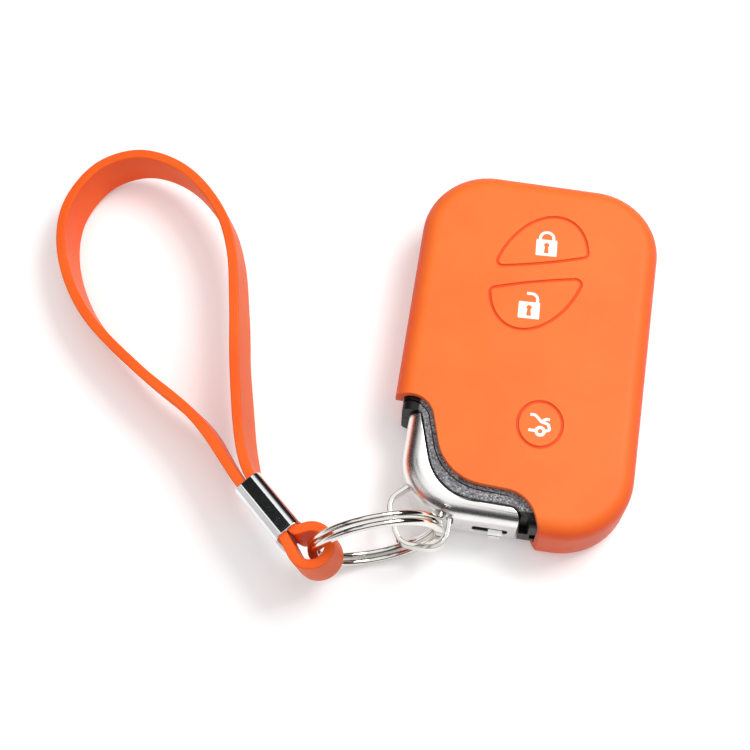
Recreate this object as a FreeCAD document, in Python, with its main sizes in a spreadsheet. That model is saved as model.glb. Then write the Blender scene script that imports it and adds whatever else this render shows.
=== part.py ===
import FreeCAD
import Part
import Sketcher
import math
import os
from FreeCAD import Placement, Rotation, Vector

# Silicone sleeve on a smart-key fob, with a split ring and a wrist strap.
# Millimetres. Origin: centre of the sleeve's bottom face. +Y runs along the fob to its lock-button end.

SIZES = [
    # Silicone sleeve
    ("cover_length", 71.8),
    ("cover_width", 45.9),
    ("cover_height", 14.5),
    ("cover_corner", 14.0),
    ("cover_round", 3.0),
    ("cover_wall", 1.5),
    ("cover_fit", 0.1),
    ("side_height", 9.5),
    ("side_reach", 4.0),
    # Lens-shaped lock and unlock pads: one tilted oval split by a slanting band
    ("lens_x", 0.5),
    ("lens_y", 15.5),
    ("lens_length", 25.7),
    ("lens_width", 16.8),
    ("lens_tilt", 70.0),
    ("lens_band", 4.3),
    ("lens_band_tilt", 14.2),
    ("lens_corner", 1.3),
    ("lens_bow", 110.0),
    # Oval boot pad
    ("boot_x", 4.3),
    ("boot_y", -15.3),
    ("boot_length", 9.5),
    ("boot_width", 8.8),
    ("pad_groove", 0.35),
    # Fob casing
    ("case_wall", 1.2),
    ("case_round", 1.9),
    ("split_height", 7.0),
    ("case_lip", 0.65),
    ("seam_gap", 0.15),
    ("head_gap", 0.3),
    ("trim_drop", 0.15),
    ("trim_end", 1.4),
    ("notch_width", 1.5),
    ("notch_height", 2.4),
    ("notch_depth", 0.9),
    ("notch_offset", 2.2),
    # Push buttons under the pads
    ("button_inset", 0.9),
    ("button_fit", 0.15),
    ("button_rise", 0.1),
    ("flange_width", 0.7),
    ("flange_height", 0.9),
    ("press_travel", 0.4),
    # Circuit board and what is on it
    ("board_thickness", 1.0),
    ("board_margin", 0.5),
    ("board_left", 9.4),
    ("board_bottom", 25.1),
    ("board_corner", 1.5),
    ("screw_inset", 3.2),
    ("screw_shank", 1.5),
    ("screw_head", 3.2),
    ("screw_head_height", 1.0),
    ("screw_depth", 3.4),
    ("screw_fit", 0.1),
    ("boss_width", 3.8),
    ("switch_width", 5.0),
    ("switch_height", 1.6),
    ("switch_round", 0.5),
    ("switch_floor", 0.3),
    ("plunger_width", 2.4),
    ("plunger_fit", 0.1),
    ("chip_width", 7.0),
    ("chip_height", 1.0),
    ("chip_bevel", 0.25),
    ("chip_x", -2.3),
    ("chip_y", -2.9),
    ("antenna_length", 11.0),
    ("antenna_width", 3.6),
    ("antenna_height", 2.8),
    ("antenna_flange", 1.2),
    ("antenna_waist", 0.5),
    ("antenna_x", 14.5),
    ("antenna_y", -2.5),
    ("cell_width", 16.0),
    ("cell_height", 3.2),
    ("cell_rim", 1.1),
    ("cell_step", 0.5),
    ("cell_round", 0.4),
    ("cell_x", 5.2),
    ("cell_y", -4.5),
    ("cell_fit", 0.1),
    ("well_wall", 0.9),
    ("well_height", 1.4),
    ("contact_thickness", 0.25),
    ("contact_width", 3.0),
    ("contact_length", 5.0),
    ("clip_width", 6.0),
    ("clip_foot", 2.2),
    # Emergency key: head, blade, pin, lug and latch
    ("head_inset", 1.5),
    ("head_end_inset", 0.1),
    ("head_round", 3.4),
    ("head_edge", 1.2),
    ("head_drop", 0.2),
    ("head_lift", 0.3),
    ("blade_width", 7.0),
    ("blade_thickness", 2.4),
    ("blade_x", -14.8),
    ("blade_height", 4.2),
    ("blade_tip", 27.0),
    ("blade_point", 3.0),
    ("blade_groove", 1.6),
    ("blade_groove_depth", 0.6),
    ("blade_fit", 0.1),
    ("tang_width", 4.6),
    ("tang_end", 30.3),
    ("tang_length", 7.0),
    ("pin_width", 2.0),
    ("pin_fit", 0.03),
    ("pin_height", 6.6),
    ("lug_x", -9.6),
    ("lug_width", 11.9),
    ("lug_depth", 5.95),
    ("lug_thickness", 0.9),
    ("lug_height", 2.4),
    ("lug_bottom", 7.0),
    ("lug_bend", 2.6),
    ("lug_fit", 0.05),
    ("rivet_x", -11.3),
    ("rivet_height", 10.15),
    ("rivet_head", 1.9),
    ("rivet_shank", 1.1),
    ("rivet_depth", 1.8),
    ("slot_x", -1.95),
    ("slot_length", 6.5),
    ("slot_width", 2.0),
    ("slot_height", 5.5),
    ("latch_x", -0.95),
    ("latch_width", 2.6),
    ("latch_rise", 1.3),
    ("latch_fit", 0.15),
    ("latch_travel", 2.6),
    ("latch_plate", 5.0),
    ("latch_plate_height", 3.0),
    ("latch_plate_depth", 1.2),
    ("latch_round", 0.35),
    ("spring_leaf", 0.25),
    ("spring_space", 2.4),
    # Split ring standing on edge
    ("ring_width", 24.8),
    ("ring_band", 1.8),
    ("ring_coil", 1.0),
    ("ring_gap", 0.45),
    ("ring_x", -2.6),
    ("ring_y", -3.3),
    ("ring_turn", 20.0),
    ("ring_open", 20.0),
    # Wrist strap and its crimped ferrule
    ("strap_width", 9.0),
    ("strap_thickness", 1.9),
    ("strap_slit", 0.3),
    ("strap_lift", 7.5),
    ("strap_rest", 0.05),
    ("strap_lean", 8.5),
    ("loop_width", 31.2),
    ("loop_reach", 66.8),
    ("fold_space", 5.1),
    ("fold_reach", 4.95),
    ("ferrule_length", 12.4),
    ("ferrule_wall", 0.55),
    ("ferrule_fit", 0.08),
    ("ferrule_round", 1.0),
    # Overrun of every cut past the face that it opens
    ("overrun", 1.0),
]

# The corner that the sleeve leaves open, as shares of half the sleeve's width and length; the last is a corner
# radius, as a share of the sleeve's own corner.
CUT_SHARES = [
    (-1.30, -0.3593, 0.0),
    (-0.7105, -0.3593, 0.3436),
    (-0.5098, -0.7802, 0.6964),
    (0.1661, -0.8000, 0.4504),
    (0.4304, -1.3125, 0.0),
]
# The inner edge of the key's metal head, in the same shares.
HEAD_SHARES = [
    (-1.30, -0.4374, 0.0),
    (-0.7751, -0.4374, 0.0371),
    (-0.5663, -0.8646, 0.7150),
    (0.1267, -0.8719, 0.1579),
    (0.1398, -1.3125, 0.0),
]
# Distance of each lens pad's middle from the whole oval's centre, as a share of the oval's length.
LENS_MIDDLE_SHARE = 0.265
# The key-ring lug from its left leg round to its right leg: shares of lug_width and lug_depth from the right leg.
LUG_SHARES = [(-0.487, 1.26), (-1.0, 0.286), (-0.72, -1.0), (0.0, -1.0), (0.0, 0.42)]
# The strap's two long strands, as shares of loop_reach from the ferrule's centre, with bend radii in the same shares.
RIGHT_STRAND_SHARES = [(-0.2270, 0.6602, 0.70)]
LEFT_STRAND_SHARES = [(-0.6388, 0.4894, 0.95), (-0.2585, 0.2439, 0.52)]
# The loop's centre from the ferrule's centre, and where the right strand bends behind the ferrule, in such shares.
LOOP_CENTRE_SHARES = (-0.5557, 0.8234)
FERRULE_BEND_SHARES = (0.0780, 0.19)
# The bend where the strap leaves the ferrule, as a share of its thickness.
EXIT_BEND_SHARE = 0.53
# Headings, in plan, of the ferrule and of the fold's centre from the ferrule's mouth.
FERRULE_HEADING = -42.5
FOLD_HEADING = -24.0
# How many times the strap's slope is worked out anew until it settles.
DIP_ROUNDS = 20

# How near an edge lies to a level or to the upright to count as on it, as a share of cover_fit.
NEAR_SHARE = 0.1

UP = Vector(0, 0, 1)

doc = FreeCAD.newDocument("key_fob_cover")
sheet = doc.addObject("Spreadsheet::Sheet", "sizes")
for row, (alias, amount) in enumerate(SIZES, start=1):
    sheet.set("A%d" % row, alias)
    sheet.set("B%d" % row, str(amount))
    sheet.setAlias("B%d" % row, alias)
doc.recompute()


def size(alias):
    """One driving size from the sheet."""
    return float(getattr(sheet, alias))


def worked_out(formula):
    """The number that a formula of sheet sizes gives."""
    return float(sheet.evalExpression(formula))


# Heights above the table, each a formula of sheet sizes.
TABLE = "0"
CASE_BOTTOM = "sizes.cover_wall + sizes.cover_fit"
CASE_TOP = "sizes.cover_height - sizes.cover_wall - sizes.cover_fit"
CASE_FLOOR = "sizes.cover_wall + sizes.cover_fit + sizes.case_wall"
CASE_ROOF = "sizes.cover_height - sizes.cover_wall - sizes.cover_fit - sizes.case_wall"
PAD_BOTTOM = CASE_TOP + " + sizes.button_rise"
BOARD_TOP = "sizes.split_height + sizes.board_thickness"
FLANGE_BOTTOM = CASE_ROOF + " - sizes.button_fit - sizes.flange_height"
HEAD_BOTTOM = CASE_BOTTOM + " + sizes.head_lift"
HEAD_TOP = CASE_TOP + " - sizes.head_drop"
CELL_BOTTOM = CASE_FLOOR + " + sizes.cell_fit"

cover_half_width = size("cover_width") / 2
cover_half_length = size("cover_length") / 2
case_inset = size("cover_wall") + size("cover_fit")
case_half_width = cover_half_width - case_inset
case_half_length = cover_half_length - case_inset
case_corner = size("cover_corner") - case_inset
head_half_width = case_half_width - size("head_inset")
head_half_length = case_half_length - size("head_end_inset")
overrun = size("overrun")
near = size("cover_fit") * NEAR_SHARE


# Outlines

def heading(degrees):
    """Unit vector in the plan view."""
    angle = math.radians(degrees)
    return Vector(math.cos(angle), math.sin(angle), 0)


def unit(vector):
    """The vector at length one, leaving the original as it is."""
    return vector / vector.Length


def turn_at(points, index):
    """Signed turn of a closed or open path at one of its points: positive to the left."""
    arriving = points[index] - points[index - 1]
    leaving = points[(index + 1) % len(points)] - points[index]
    return arriving.x * leaving.y - arriving.y * leaving.x


def rounded(points, radii, closed=True):
    """Edges of a path whose corners are arcs of the given radii."""
    count = len(points)
    arrivals, departures, arcs = [], [], []
    for index, corner in enumerate(points):
        is_end = not closed and index in (0, count - 1)
        if is_end or radii[index] <= 0:
            arrivals.append(corner)
            departures.append(corner)
            arcs.append(None)
            continue
        back = unit(points[index - 1] - corner)
        on = unit(points[(index + 1) % count] - corner)
        half_angle = back.getAngle(on) / 2
        reach = radii[index] / math.tan(half_angle)
        centre = corner + unit(back + on) * (radii[index] / math.sin(half_angle))
        start, end = corner + back * reach, corner + on * reach
        first, last = (start, end) if turn_at(points, index) > 0 else (end, start)
        circle = Part.Circle(centre, UP, radii[index])
        arcs.append(Part.ArcOfCircle(circle, circle.parameter(first), circle.parameter(last)))
        arrivals.append(start)
        departures.append(end)
    edges = []
    for index in range(count):
        if arcs[index]:
            edges.append(arcs[index])
        if closed or index < count - 1:
            target = arrivals[(index + 1) % count]
            if (target - departures[index]).Length > Part.Precision.confusion():
                edges.append(Part.LineSegment(departures[index], target))
    return edges


def shifted(points, radii, distance, closed=True):
    """The path moved sideways to its left, with each bend's radius changed to match."""
    count = len(points)
    moved, bends = [], []
    for index, corner in enumerate(points):
        if not closed and index == 0:
            along = unit(points[1] - corner)
            moved.append(corner + Vector(-along.y, along.x, 0) * distance)
            bends.append(0)
            continue
        arriving = unit(corner - points[index - 1])
        side = Vector(-arriving.y, arriving.x, 0)
        if not closed and index == count - 1:
            moved.append(corner + side * distance)
            bends.append(0)
            continue
        leaving = unit(points[(index + 1) % count] - corner)
        far_side = Vector(-leaving.y, leaving.x, 0)
        moved.append(corner + (side + far_side) * (distance / (1 + side.dot(far_side))))
        sign = 1 if turn_at(points, index) > 0 else -1
        bends.append(radii[index] - sign * distance if radii[index] > 0 else 0)
    return moved, bends


def ribbon(points, radii, thickness):
    """Closed outline of a strip of even thickness along an open path."""
    left, left_bends = shifted(points, radii, thickness / 2, closed=False)
    right, right_bends = shifted(points, radii, -thickness / 2, closed=False)
    return rounded(left + right[::-1], left_bends + right_bends[::-1])


def plate(half_width, half_length, corner):
    """Rounded rectangle about the origin."""
    points = [
        Vector(half_width, half_length, 0),
        Vector(-half_width, half_length, 0),
        Vector(-half_width, -half_length, 0),
        Vector(half_width, -half_length, 0),
    ]
    return rounded(points, [corner] * len(points))


def rectangle(low_x, high_x, low_y, high_y, corner=0):
    """Rectangle between two pairs of limits, with equal corners."""
    points = [
        Vector(low_x, low_y, 0),
        Vector(high_x, low_y, 0),
        Vector(high_x, high_y, 0),
        Vector(low_x, high_y, 0),
    ]
    return rounded(points, [corner] * len(points))


def open_corner(shares, outward):
    """Outline of all that lies beyond a corner curve, moved outward towards the open corner."""
    points = [Vector(x * cover_half_width, y * cover_half_length, 0) for x, y, _ in shares]
    radii = [radius * size("cover_corner") for _, _, radius in shares]
    curve, bends = shifted(points, radii, -outward, closed=False)
    return rounded(curve + [Vector(curve[0].x, curve[-1].y, 0)], bends + [0])


def oval(centre, length, width, tilt):
    """Full ellipse whose long axis points along tilt."""
    along = heading(tilt)
    across = heading(tilt + 90)
    return [Part.Ellipse(centre + along * (length / 2), centre + across * (width / 2), centre)]


# Document objects

def profile(name, edges, placement=None):
    """A sketch of fixed edges."""
    sketch = doc.addObject("Sketcher::SketchObject", name)
    for edge in edges:
        index = sketch.addGeometry(edge, False)
        sketch.addConstraint(Sketcher.Constraint("Block", index))
    if placement:
        sketch.Placement = placement
    return sketch


def prism(name, edges, bottom, height):
    """A closed outline raised from bottom by height, both formulas."""
    sketch = profile(name + "_outline", edges)
    sketch.setExpression("Placement.Base.z", bottom)
    solid = doc.addObject("Part::Extrusion", name)
    solid.Base = sketch
    solid.DirMode = "Custom"
    solid.Dir = UP
    solid.Solid = True
    solid.setExpression("LengthFwd", height)
    return solid


def prism_between(name, edges, bottom, top):
    """A closed outline raised between two heights, both formulas."""
    return prism(name, edges, bottom, "(%s) - (%s)" % (top, bottom))


def through(name, edges):
    """A closed outline raised past the whole fob, for cutting."""
    return prism(name, edges, "-sizes.overrun", "sizes.cover_height + 2 * sizes.overrun")


def side_prism(name, edges, start, length):
    """An outline in the XZ plane drawn out along +Y from start."""
    upright = Placement(Vector(0, start, 0), Rotation(Vector(1, 0, 0), 90))
    solid = doc.addObject("Part::Extrusion", name)
    solid.Base = profile(name + "_outline", edges, upright)
    solid.DirMode = "Custom"
    solid.Dir = Vector(0, 1, 0)
    solid.Solid = True
    solid.LengthFwd = length
    return solid


def cylinder(name, radius, height, place):
    """An upright round bar: radius and height are formulas, place is the centre of its foot."""
    bar = doc.addObject("Part::Cylinder", name)
    bar.setExpression("Radius", radius)
    bar.setExpression("Height", height)
    bar.Placement = Placement(place, Rotation())
    return bar


def cut(name, base, *tools):
    """The base less each tool in turn."""
    for number, tool in enumerate(tools, start=1):
        rest = doc.addObject("Part::Cut", name if number == len(tools) else "%s_cut_%d" % (name, number))
        rest.Base = base
        rest.Tool = tool
        base = rest
    return base


def fuse(name, *solids):
    """Several solids as one."""
    joined = doc.addObject("Part::MultiFuse", name)
    joined.Shapes = list(solids)
    joined.Refine = True
    return joined


def common(name, *solids):
    """What several solids share."""
    shared = doc.addObject("Part::MultiCommon", name)
    shared.Shapes = list(solids)
    return shared


def group(name, solids):
    """Separate like solids kept in one node."""
    bundle = doc.addObject("Part::Compound", name)
    bundle.Links = list(solids)
    return bundle


def eased(name, base, radius, chosen):
    """The base with the chosen edges rounded."""
    doc.recompute()
    fillet = doc.addObject("Part::Fillet", name)
    fillet.Base = base
    numbers = [n for n, edge in enumerate(base.Shape.Edges, start=1) if chosen(edge)]
    fillet.Edges = [(n, radius, radius) for n in numbers]
    return fillet


def at_height(height):
    """Chooses the edges that lie level at one height."""
    def chosen(edge):
        box = edge.BoundBox
        return abs(box.ZMin - height) < near and abs(box.ZMax - height) < near
    return chosen


def is_upright(edge):
    """Chooses straight edges along Z."""
    box = edge.BoundBox
    return box.ZLength > Part.Precision.confusion() and max(box.XLength, box.YLength) < near


def body_of(name):
    """An empty body."""
    body = doc.addObject("PartDesign::Body", name)
    return body


def plane_of(body, role):
    """One of a body's origin planes."""
    return next(item for item in body.Origin.OriginFeatures if item.Role == role)


def sketch_in(body, name, edges, role="XY_Plane", lift=None):
    """A sketch of fixed edges on one of the body's origin planes."""
    sketch = body.newObject("Sketcher::SketchObject", name)
    sketch.AttachmentSupport = [(plane_of(body, role), "")]
    sketch.MapMode = "FlatFace"
    if lift:
        sketch.setExpression("AttachmentOffset.Base.z", lift)
    for edge in edges:
        index = sketch.addGeometry(edge, False)
        sketch.addConstraint(Sketcher.Constraint("Block", index))
    return sketch


def pad(body, name, sketch, length):
    """A sketch padded upward by a formula."""
    feature = body.newObject("PartDesign::Pad", name)
    feature.Profile = sketch
    feature.setExpression("Length", length)
    return feature


def pocket(body, name, sketch, length, upward=False):
    """A sketch cut into the body by a formula, down unless told otherwise."""
    feature = body.newObject("PartDesign::Pocket", name)
    feature.Profile = sketch
    feature.setExpression("Length", length)
    feature.Reversed = upward
    return feature


nodes = {}


def keep(node, item, placement=None):
    """Files a finished piece under its node's name."""
    item.Label = node
    if placement:
        item.Placement = placement
    nodes[node] = item


# Pads, buttons and what they press: one outline for each, grown or shrunk for every piece of the stack

def lens_prism(name, side, grow, bottom, top):
    """One half of the split oval: side is 1 above the band and -1 below it."""
    centre = Vector(size("lens_x"), size("lens_y"), 0)
    whole = prism_between(
        name + "_oval",
        oval(centre, size("lens_length") + 2 * grow, size("lens_width") + 2 * grow, size("lens_tilt")),
        bottom, top)
    across = heading(size("lens_band_tilt") + 90) * side
    bow_centre = centre + across * (size("lens_band") / 2 + size("lens_bow"))
    half = prism_between(name + "_half", [Part.Circle(bow_centre, UP, size("lens_bow") + grow)], bottom, top)
    return eased(name, common(name + "_sharp", whole, half), size("lens_corner") + grow, is_upright)


def boot_prism(name, grow, bottom, top):
    """The boot pad's oval, grown all round."""
    centre = Vector(size("boot_x"), size("boot_y"), 0)
    edges = oval(centre, size("boot_length") + 2 * grow, size("boot_width") + 2 * grow, 90)
    return prism_between(name, edges, bottom, top)


def button_prism(button, name, grow, bottom, top):
    """The outline of one of the three buttons as a prism."""
    if button == "boot":
        return boot_prism(name, grow, bottom, top)
    return lens_prism(name, 1 if button == "lock" else -1, grow, bottom, top)


def lens_middle(side):
    """Middle of one half of the split oval."""
    centre = Vector(size("lens_x"), size("lens_y"), 0)
    between = (size("lens_tilt") + size("lens_band_tilt") + 90) / 2
    return centre + heading(between) * (side * LENS_MIDDLE_SHARE * size("lens_length"))


BUTTONS = {
    "lock": lens_middle(1),
    "unlock": lens_middle(-1),
    "boot": Vector(size("boot_x"), size("boot_y"), 0),
}
ABOVE_COVER = "sizes.cover_height + sizes.overrun"
BELOW_ROOF = CASE_ROOF + " - sizes.overrun"


def make_cover():
    """Hollow silicone sleeve with one corner open and a groove round each pad."""
    height = size("cover_height")
    outer = prism("cover_block", plate(cover_half_width, cover_half_length, size("cover_corner")),
                  TABLE, "sizes.cover_height")
    outer = eased("cover_soft_block", outer, size("cover_round"),
                  lambda edge: at_height(0)(edge) or at_height(height)(edge))
    wall = size("cover_wall")
    inner = prism("cover_space", plate(cover_half_width - wall, cover_half_length - wall,
                                       size("cover_corner") - wall),
                  "sizes.cover_wall", "sizes.cover_height - 2 * sizes.cover_wall")
    inner = eased("cover_soft_space", inner, size("case_round") + size("cover_fit"),
                  lambda edge: at_height(wall)(edge) or at_height(height - wall)(edge))
    windows = [button_prism(button, button + "_window", 0, CASE_ROOF, ABOVE_COVER) for button in BUTTONS]
    edge = CUT_SHARES[0][1] * cover_half_length
    side = prism("cover_side_cut", rectangle(-cover_half_width - overrun, -case_half_width,
                                             edge - overrun, edge + size("side_reach")),
                 "-sizes.overrun", "sizes.side_height + sizes.overrun")
    keep("cover_skin", cut("cover_shell", outer, inner,
                           through("cover_corner_cut", open_corner(CUT_SHARES, 0)), side, *windows))


def make_buttons():
    """Pad, button cap and switch plunger of each push button, one above the other."""
    for button, middle in BUTTONS.items():
        keep(button + "_pad", button_prism(button, button + "_pad_solid", -size("pad_groove"),
                                           PAD_BOTTOM, "sizes.cover_height"))
        inset = size("button_inset")
        cap = button_prism(button, button + "_cap", -inset, FLANGE_BOTTOM, PAD_BOTTOM)
        flange = button_prism(button, button + "_flange", size("flange_width") - inset, FLANGE_BOTTOM,
                              FLANGE_BOTTOM + " + sizes.flange_height")
        keep(button + "_button", fuse(button + "_cap_and_flange", cap, flange))
        foot = worked_out(BOARD_TOP + " + sizes.switch_floor + sizes.press_travel + sizes.plunger_fit")
        keep(button + "_plunger", cylinder(button + "_plunger_bar", "sizes.plunger_width / 2",
                                           "%s - %f" % (FLANGE_BOTTOM, foot),
                                           middle + UP * foot))


def make_front_housing():
    """Front shell with its button windows, ending in a lip beside the sleeve's open corner."""
    top = worked_out(CASE_TOP)
    outer = prism_between("front_block", plate(case_half_width, case_half_length, case_corner),
                          "sizes.split_height", CASE_TOP)
    outer = eased("front_soft_block", outer, size("case_round"), at_height(top))
    wall = size("case_wall")
    space = prism_between("front_space", plate(case_half_width - wall, case_half_length - wall,
                                               case_corner - wall),
                          "sizes.split_height - sizes.overrun", CASE_ROOF)
    space = cut("front_cavity", space,
                through("front_corner_wall", open_corner(CUT_SHARES, size("case_lip") - wall)))
    grow = size("button_fit") - size("button_inset")
    windows = [button_prism(button, button + "_opening", grow, BELOW_ROOF, ABOVE_COVER) for button in BUTTONS]
    windows += [button_prism(button, button + "_recess", 0, CASE_TOP + " - sizes.press_travel", ABOVE_COVER)
                for button in BUTTONS]
    keep("front_housing", cut("front_shell", outer, space,
                              through("front_corner_cut", open_corner(CUT_SHARES, size("case_lip"))), *windows))


def screw_places():
    """Centres of the four board screws."""
    left = -size("board_left") + size("screw_inset")
    low = -size("board_bottom") + size("screw_inset")
    inside = case_corner - size("case_wall") - size("board_margin") - size("screw_inset")
    slant = math.sqrt(2) / 2
    right = case_half_width - case_corner + inside * slant
    high = case_half_length - case_corner + inside * slant
    return [Vector(left, high, 0), Vector(right, high, 0), Vector(left, low, 0), Vector(right, low, 0)]


def make_rear_housing():
    """Rear shell with the blade channel, screw bosses, cell well and pry notch."""
    bottom = worked_out(CASE_BOTTOM)
    floor = worked_out(CASE_FLOOR)
    split = size("split_height")
    outer = prism_between("rear_block", plate(case_half_width, case_half_length, case_corner),
                          CASE_BOTTOM, "sizes.split_height")
    outer = eased("rear_soft_block", outer, size("case_round"), at_height(bottom))
    wall = size("case_wall")
    channel_left = size("blade_x") - size("blade_width") / 2 - size("blade_fit")
    channel_right = size("blade_x") + size("blade_width") / 2 + size("blade_fit")
    channel_end = size("blade_tip") + size("overrun")
    space = prism_between("rear_space", plate(case_half_width - wall, case_half_length - wall,
                                              case_corner - wall),
                          CASE_FLOOR, "sizes.split_height + sizes.overrun")
    solid_channel = prism_between(
        "channel_block",
        rectangle(-case_half_width, channel_right + wall, -case_half_length, channel_end + wall),
        CASE_BOTTOM, "sizes.split_height - sizes.blade_fit")
    corner_wall = through("rear_corner_wall", open_corner(HEAD_SHARES, -size("head_gap") - wall))
    space = cut("rear_cavity", space, solid_channel, corner_wall)
    channel = prism_between("blade_channel",
                            rectangle(channel_left, channel_right, -case_half_length - overrun, channel_end),
                            "sizes.blade_height - sizes.blade_fit", "sizes.split_height + sizes.overrun")
    notch_left = HEAD_SHARES[-1][0] * cover_half_width + size("notch_offset")
    notch = side_prism("pry_notch",
                       rectangle(notch_left, notch_left + size("notch_width"),
                                 split - size("notch_height"), split + overrun),
                       -case_half_length - overrun, size("notch_depth") + overrun)
    shell = cut("rear_shell", outer, space,
                through("rear_corner_cut", open_corner(HEAD_SHARES, -size("head_gap"))), channel, notch)
    extras = [cylinder("boss_%d" % number, "sizes.boss_width / 2", "sizes.split_height - (%s)" % CASE_BOTTOM,
                       place + UP * bottom)
              for number, place in enumerate(screw_places(), start=1)]
    cell_place = Vector(size("cell_x"), size("cell_y"), bottom)
    rim = cylinder("well_rim", "sizes.cell_width / 2 + sizes.cell_fit + sizes.well_wall",
                   "sizes.case_wall + sizes.well_height", cell_place)
    well = cylinder("well_space", "sizes.cell_width / 2 + sizes.cell_fit",
                    "sizes.well_height + sizes.overrun", cell_place + UP * (floor - bottom))
    solid = fuse("rear_with_bosses", shell, rim, *extras)
    holes = [cylinder("pilot_%d" % number, "sizes.screw_shank / 2 + sizes.screw_fit / 2",
                      "sizes.screw_depth + sizes.screw_fit + sizes.overrun",
                      place + UP * (split - size("screw_depth") - size("screw_fit")))
             for number, place in enumerate(screw_places(), start=1)]
    keep("rear_housing", cut("rear_case", solid, well, *holes))


def make_trim_strip():
    """Curved strip that fills the corner between the front shell's lip and the key's head."""
    inside = size("case_lip") + size("seam_gap")
    block = prism_between("trim_block", plate(case_half_width, case_half_length, case_corner),
                          "sizes.split_height", CASE_TOP + " - sizes.trim_drop")
    block = eased("trim_soft_block", block, size("case_round"),
                  at_height(worked_out(CASE_TOP + " - sizes.trim_drop")))
    strip = common("trim_curve", block, through("trim_inner", open_corner(CUT_SHARES, inside)))
    end = -case_half_length + size("trim_end")
    tail = through("trim_tail", rectangle(-case_half_width * 2, case_half_width * 2,
                                          -case_half_length * 2, end))
    keep("trim_strip", cut("trim_piece", strip,
                           through("trim_outer", open_corner(HEAD_SHARES, -size("head_gap"))), tail))


def make_board():
    """Circuit board with its screw holes, the three switches and the screws."""
    margin = size("case_wall") + size("board_margin")
    round_corner = case_corner - margin
    points = [
        Vector(case_half_width - margin, case_half_length - margin, 0),
        Vector(-size("board_left"), case_half_length - margin, 0),
        Vector(-size("board_left"), -size("board_bottom"), 0),
        Vector(case_half_width - margin, -size("board_bottom"), 0),
    ]
    edges = rounded(points, [round_corner, size("board_corner"), size("board_corner"), size("board_corner")])
    hole = size("screw_shank") / 2 + size("screw_fit")
    edges += [Part.Circle(place, UP, hole) for place in screw_places()]
    board = body_of("board_body")
    pad(board, "board_pad", sketch_in(board, "board_outline", edges, lift="sizes.split_height"),
        "sizes.board_thickness")
    keep("circuit_board", board)
    top = worked_out(BOARD_TOP)
    screws = []
    for number, place in enumerate(screw_places(), start=1):
        head = cylinder("screw_head_%d" % number, "sizes.screw_head / 2", "sizes.screw_head_height",
                        place + UP * top)
        shank = cylinder("screw_shank_%d" % number, "sizes.screw_shank / 2",
                         "sizes.screw_depth + sizes.board_thickness",
                         place + UP * (size("split_height") - size("screw_depth")))
        screws.append(fuse("screw_%d" % number, head, shank))
    keep("board_screws", group("screw_set", screws))
    switches = []
    half = size("switch_width") / 2
    for button, middle in BUTTONS.items():
        box = prism(button + "_switch_box",
                    rectangle(middle.x - half, middle.x + half, middle.y - half, middle.y + half,
                              size("switch_round")),
                    BOARD_TOP, "sizes.switch_height")
        bore = cylinder(button + "_switch_bore", "sizes.plunger_width / 2 + sizes.plunger_fit",
                        "sizes.switch_height", middle + UP * (top + size("switch_floor")))
        switches.append(cut(button + "_switch", box, bore))
    keep("switch_bodies", group("switch_set", switches))


def make_board_parts():
    """Control chip and low-frequency antenna on the board."""
    top = worked_out(BOARD_TOP)
    half = size("chip_width") / 2
    chip = body_of("chip_body")
    outline = rectangle(size("chip_x") - half, size("chip_x") + half, size("chip_y") - half,
                        size("chip_y") + half)
    package = pad(chip, "chip_pad", sketch_in(chip, "chip_outline", outline, lift=BOARD_TOP),
                  "sizes.chip_height")
    doc.recompute()
    bevel = chip.newObject("PartDesign::Chamfer", "chip_bevel_edge")
    chosen = at_height(top + size("chip_height"))
    bevel.Base = (package, ["Edge%d" % n for n, edge in enumerate(package.Shape.Edges, start=1) if chosen(edge)])
    bevel.setExpression("Size", "sizes.chip_bevel")
    keep("control_chip", chip)
    aerial = body_of("antenna_body")
    x, y = size("antenna_x"), size("antenna_y")
    half_length, half_width = size("antenna_length") / 2, size("antenna_width") / 2
    waist, flange = size("antenna_waist"), size("antenna_flange")
    points = [Vector(x + side_x * across, y + side_y * along, 0) for side_x, side_y, across, along in (
        (1, 1, half_width, half_length), (-1, 1, half_width, half_length),
        (-1, 1, half_width, half_length - flange), (-1, 1, half_width - waist, half_length - flange),
        (-1, -1, half_width - waist, half_length - flange), (-1, -1, half_width, half_length - flange),
        (-1, -1, half_width, half_length), (1, -1, half_width, half_length),
        (1, -1, half_width, half_length - flange), (1, -1, half_width - waist, half_length - flange),
        (1, 1, half_width - waist, half_length - flange), (1, 1, half_width, half_length - flange))]
    pad(aerial, "antenna_pad", sketch_in(aerial, "antenna_outline", rounded(points, [0] * len(points)),
                                         lift=BOARD_TOP), "sizes.antenna_height")
    keep("antenna", aerial)


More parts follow.
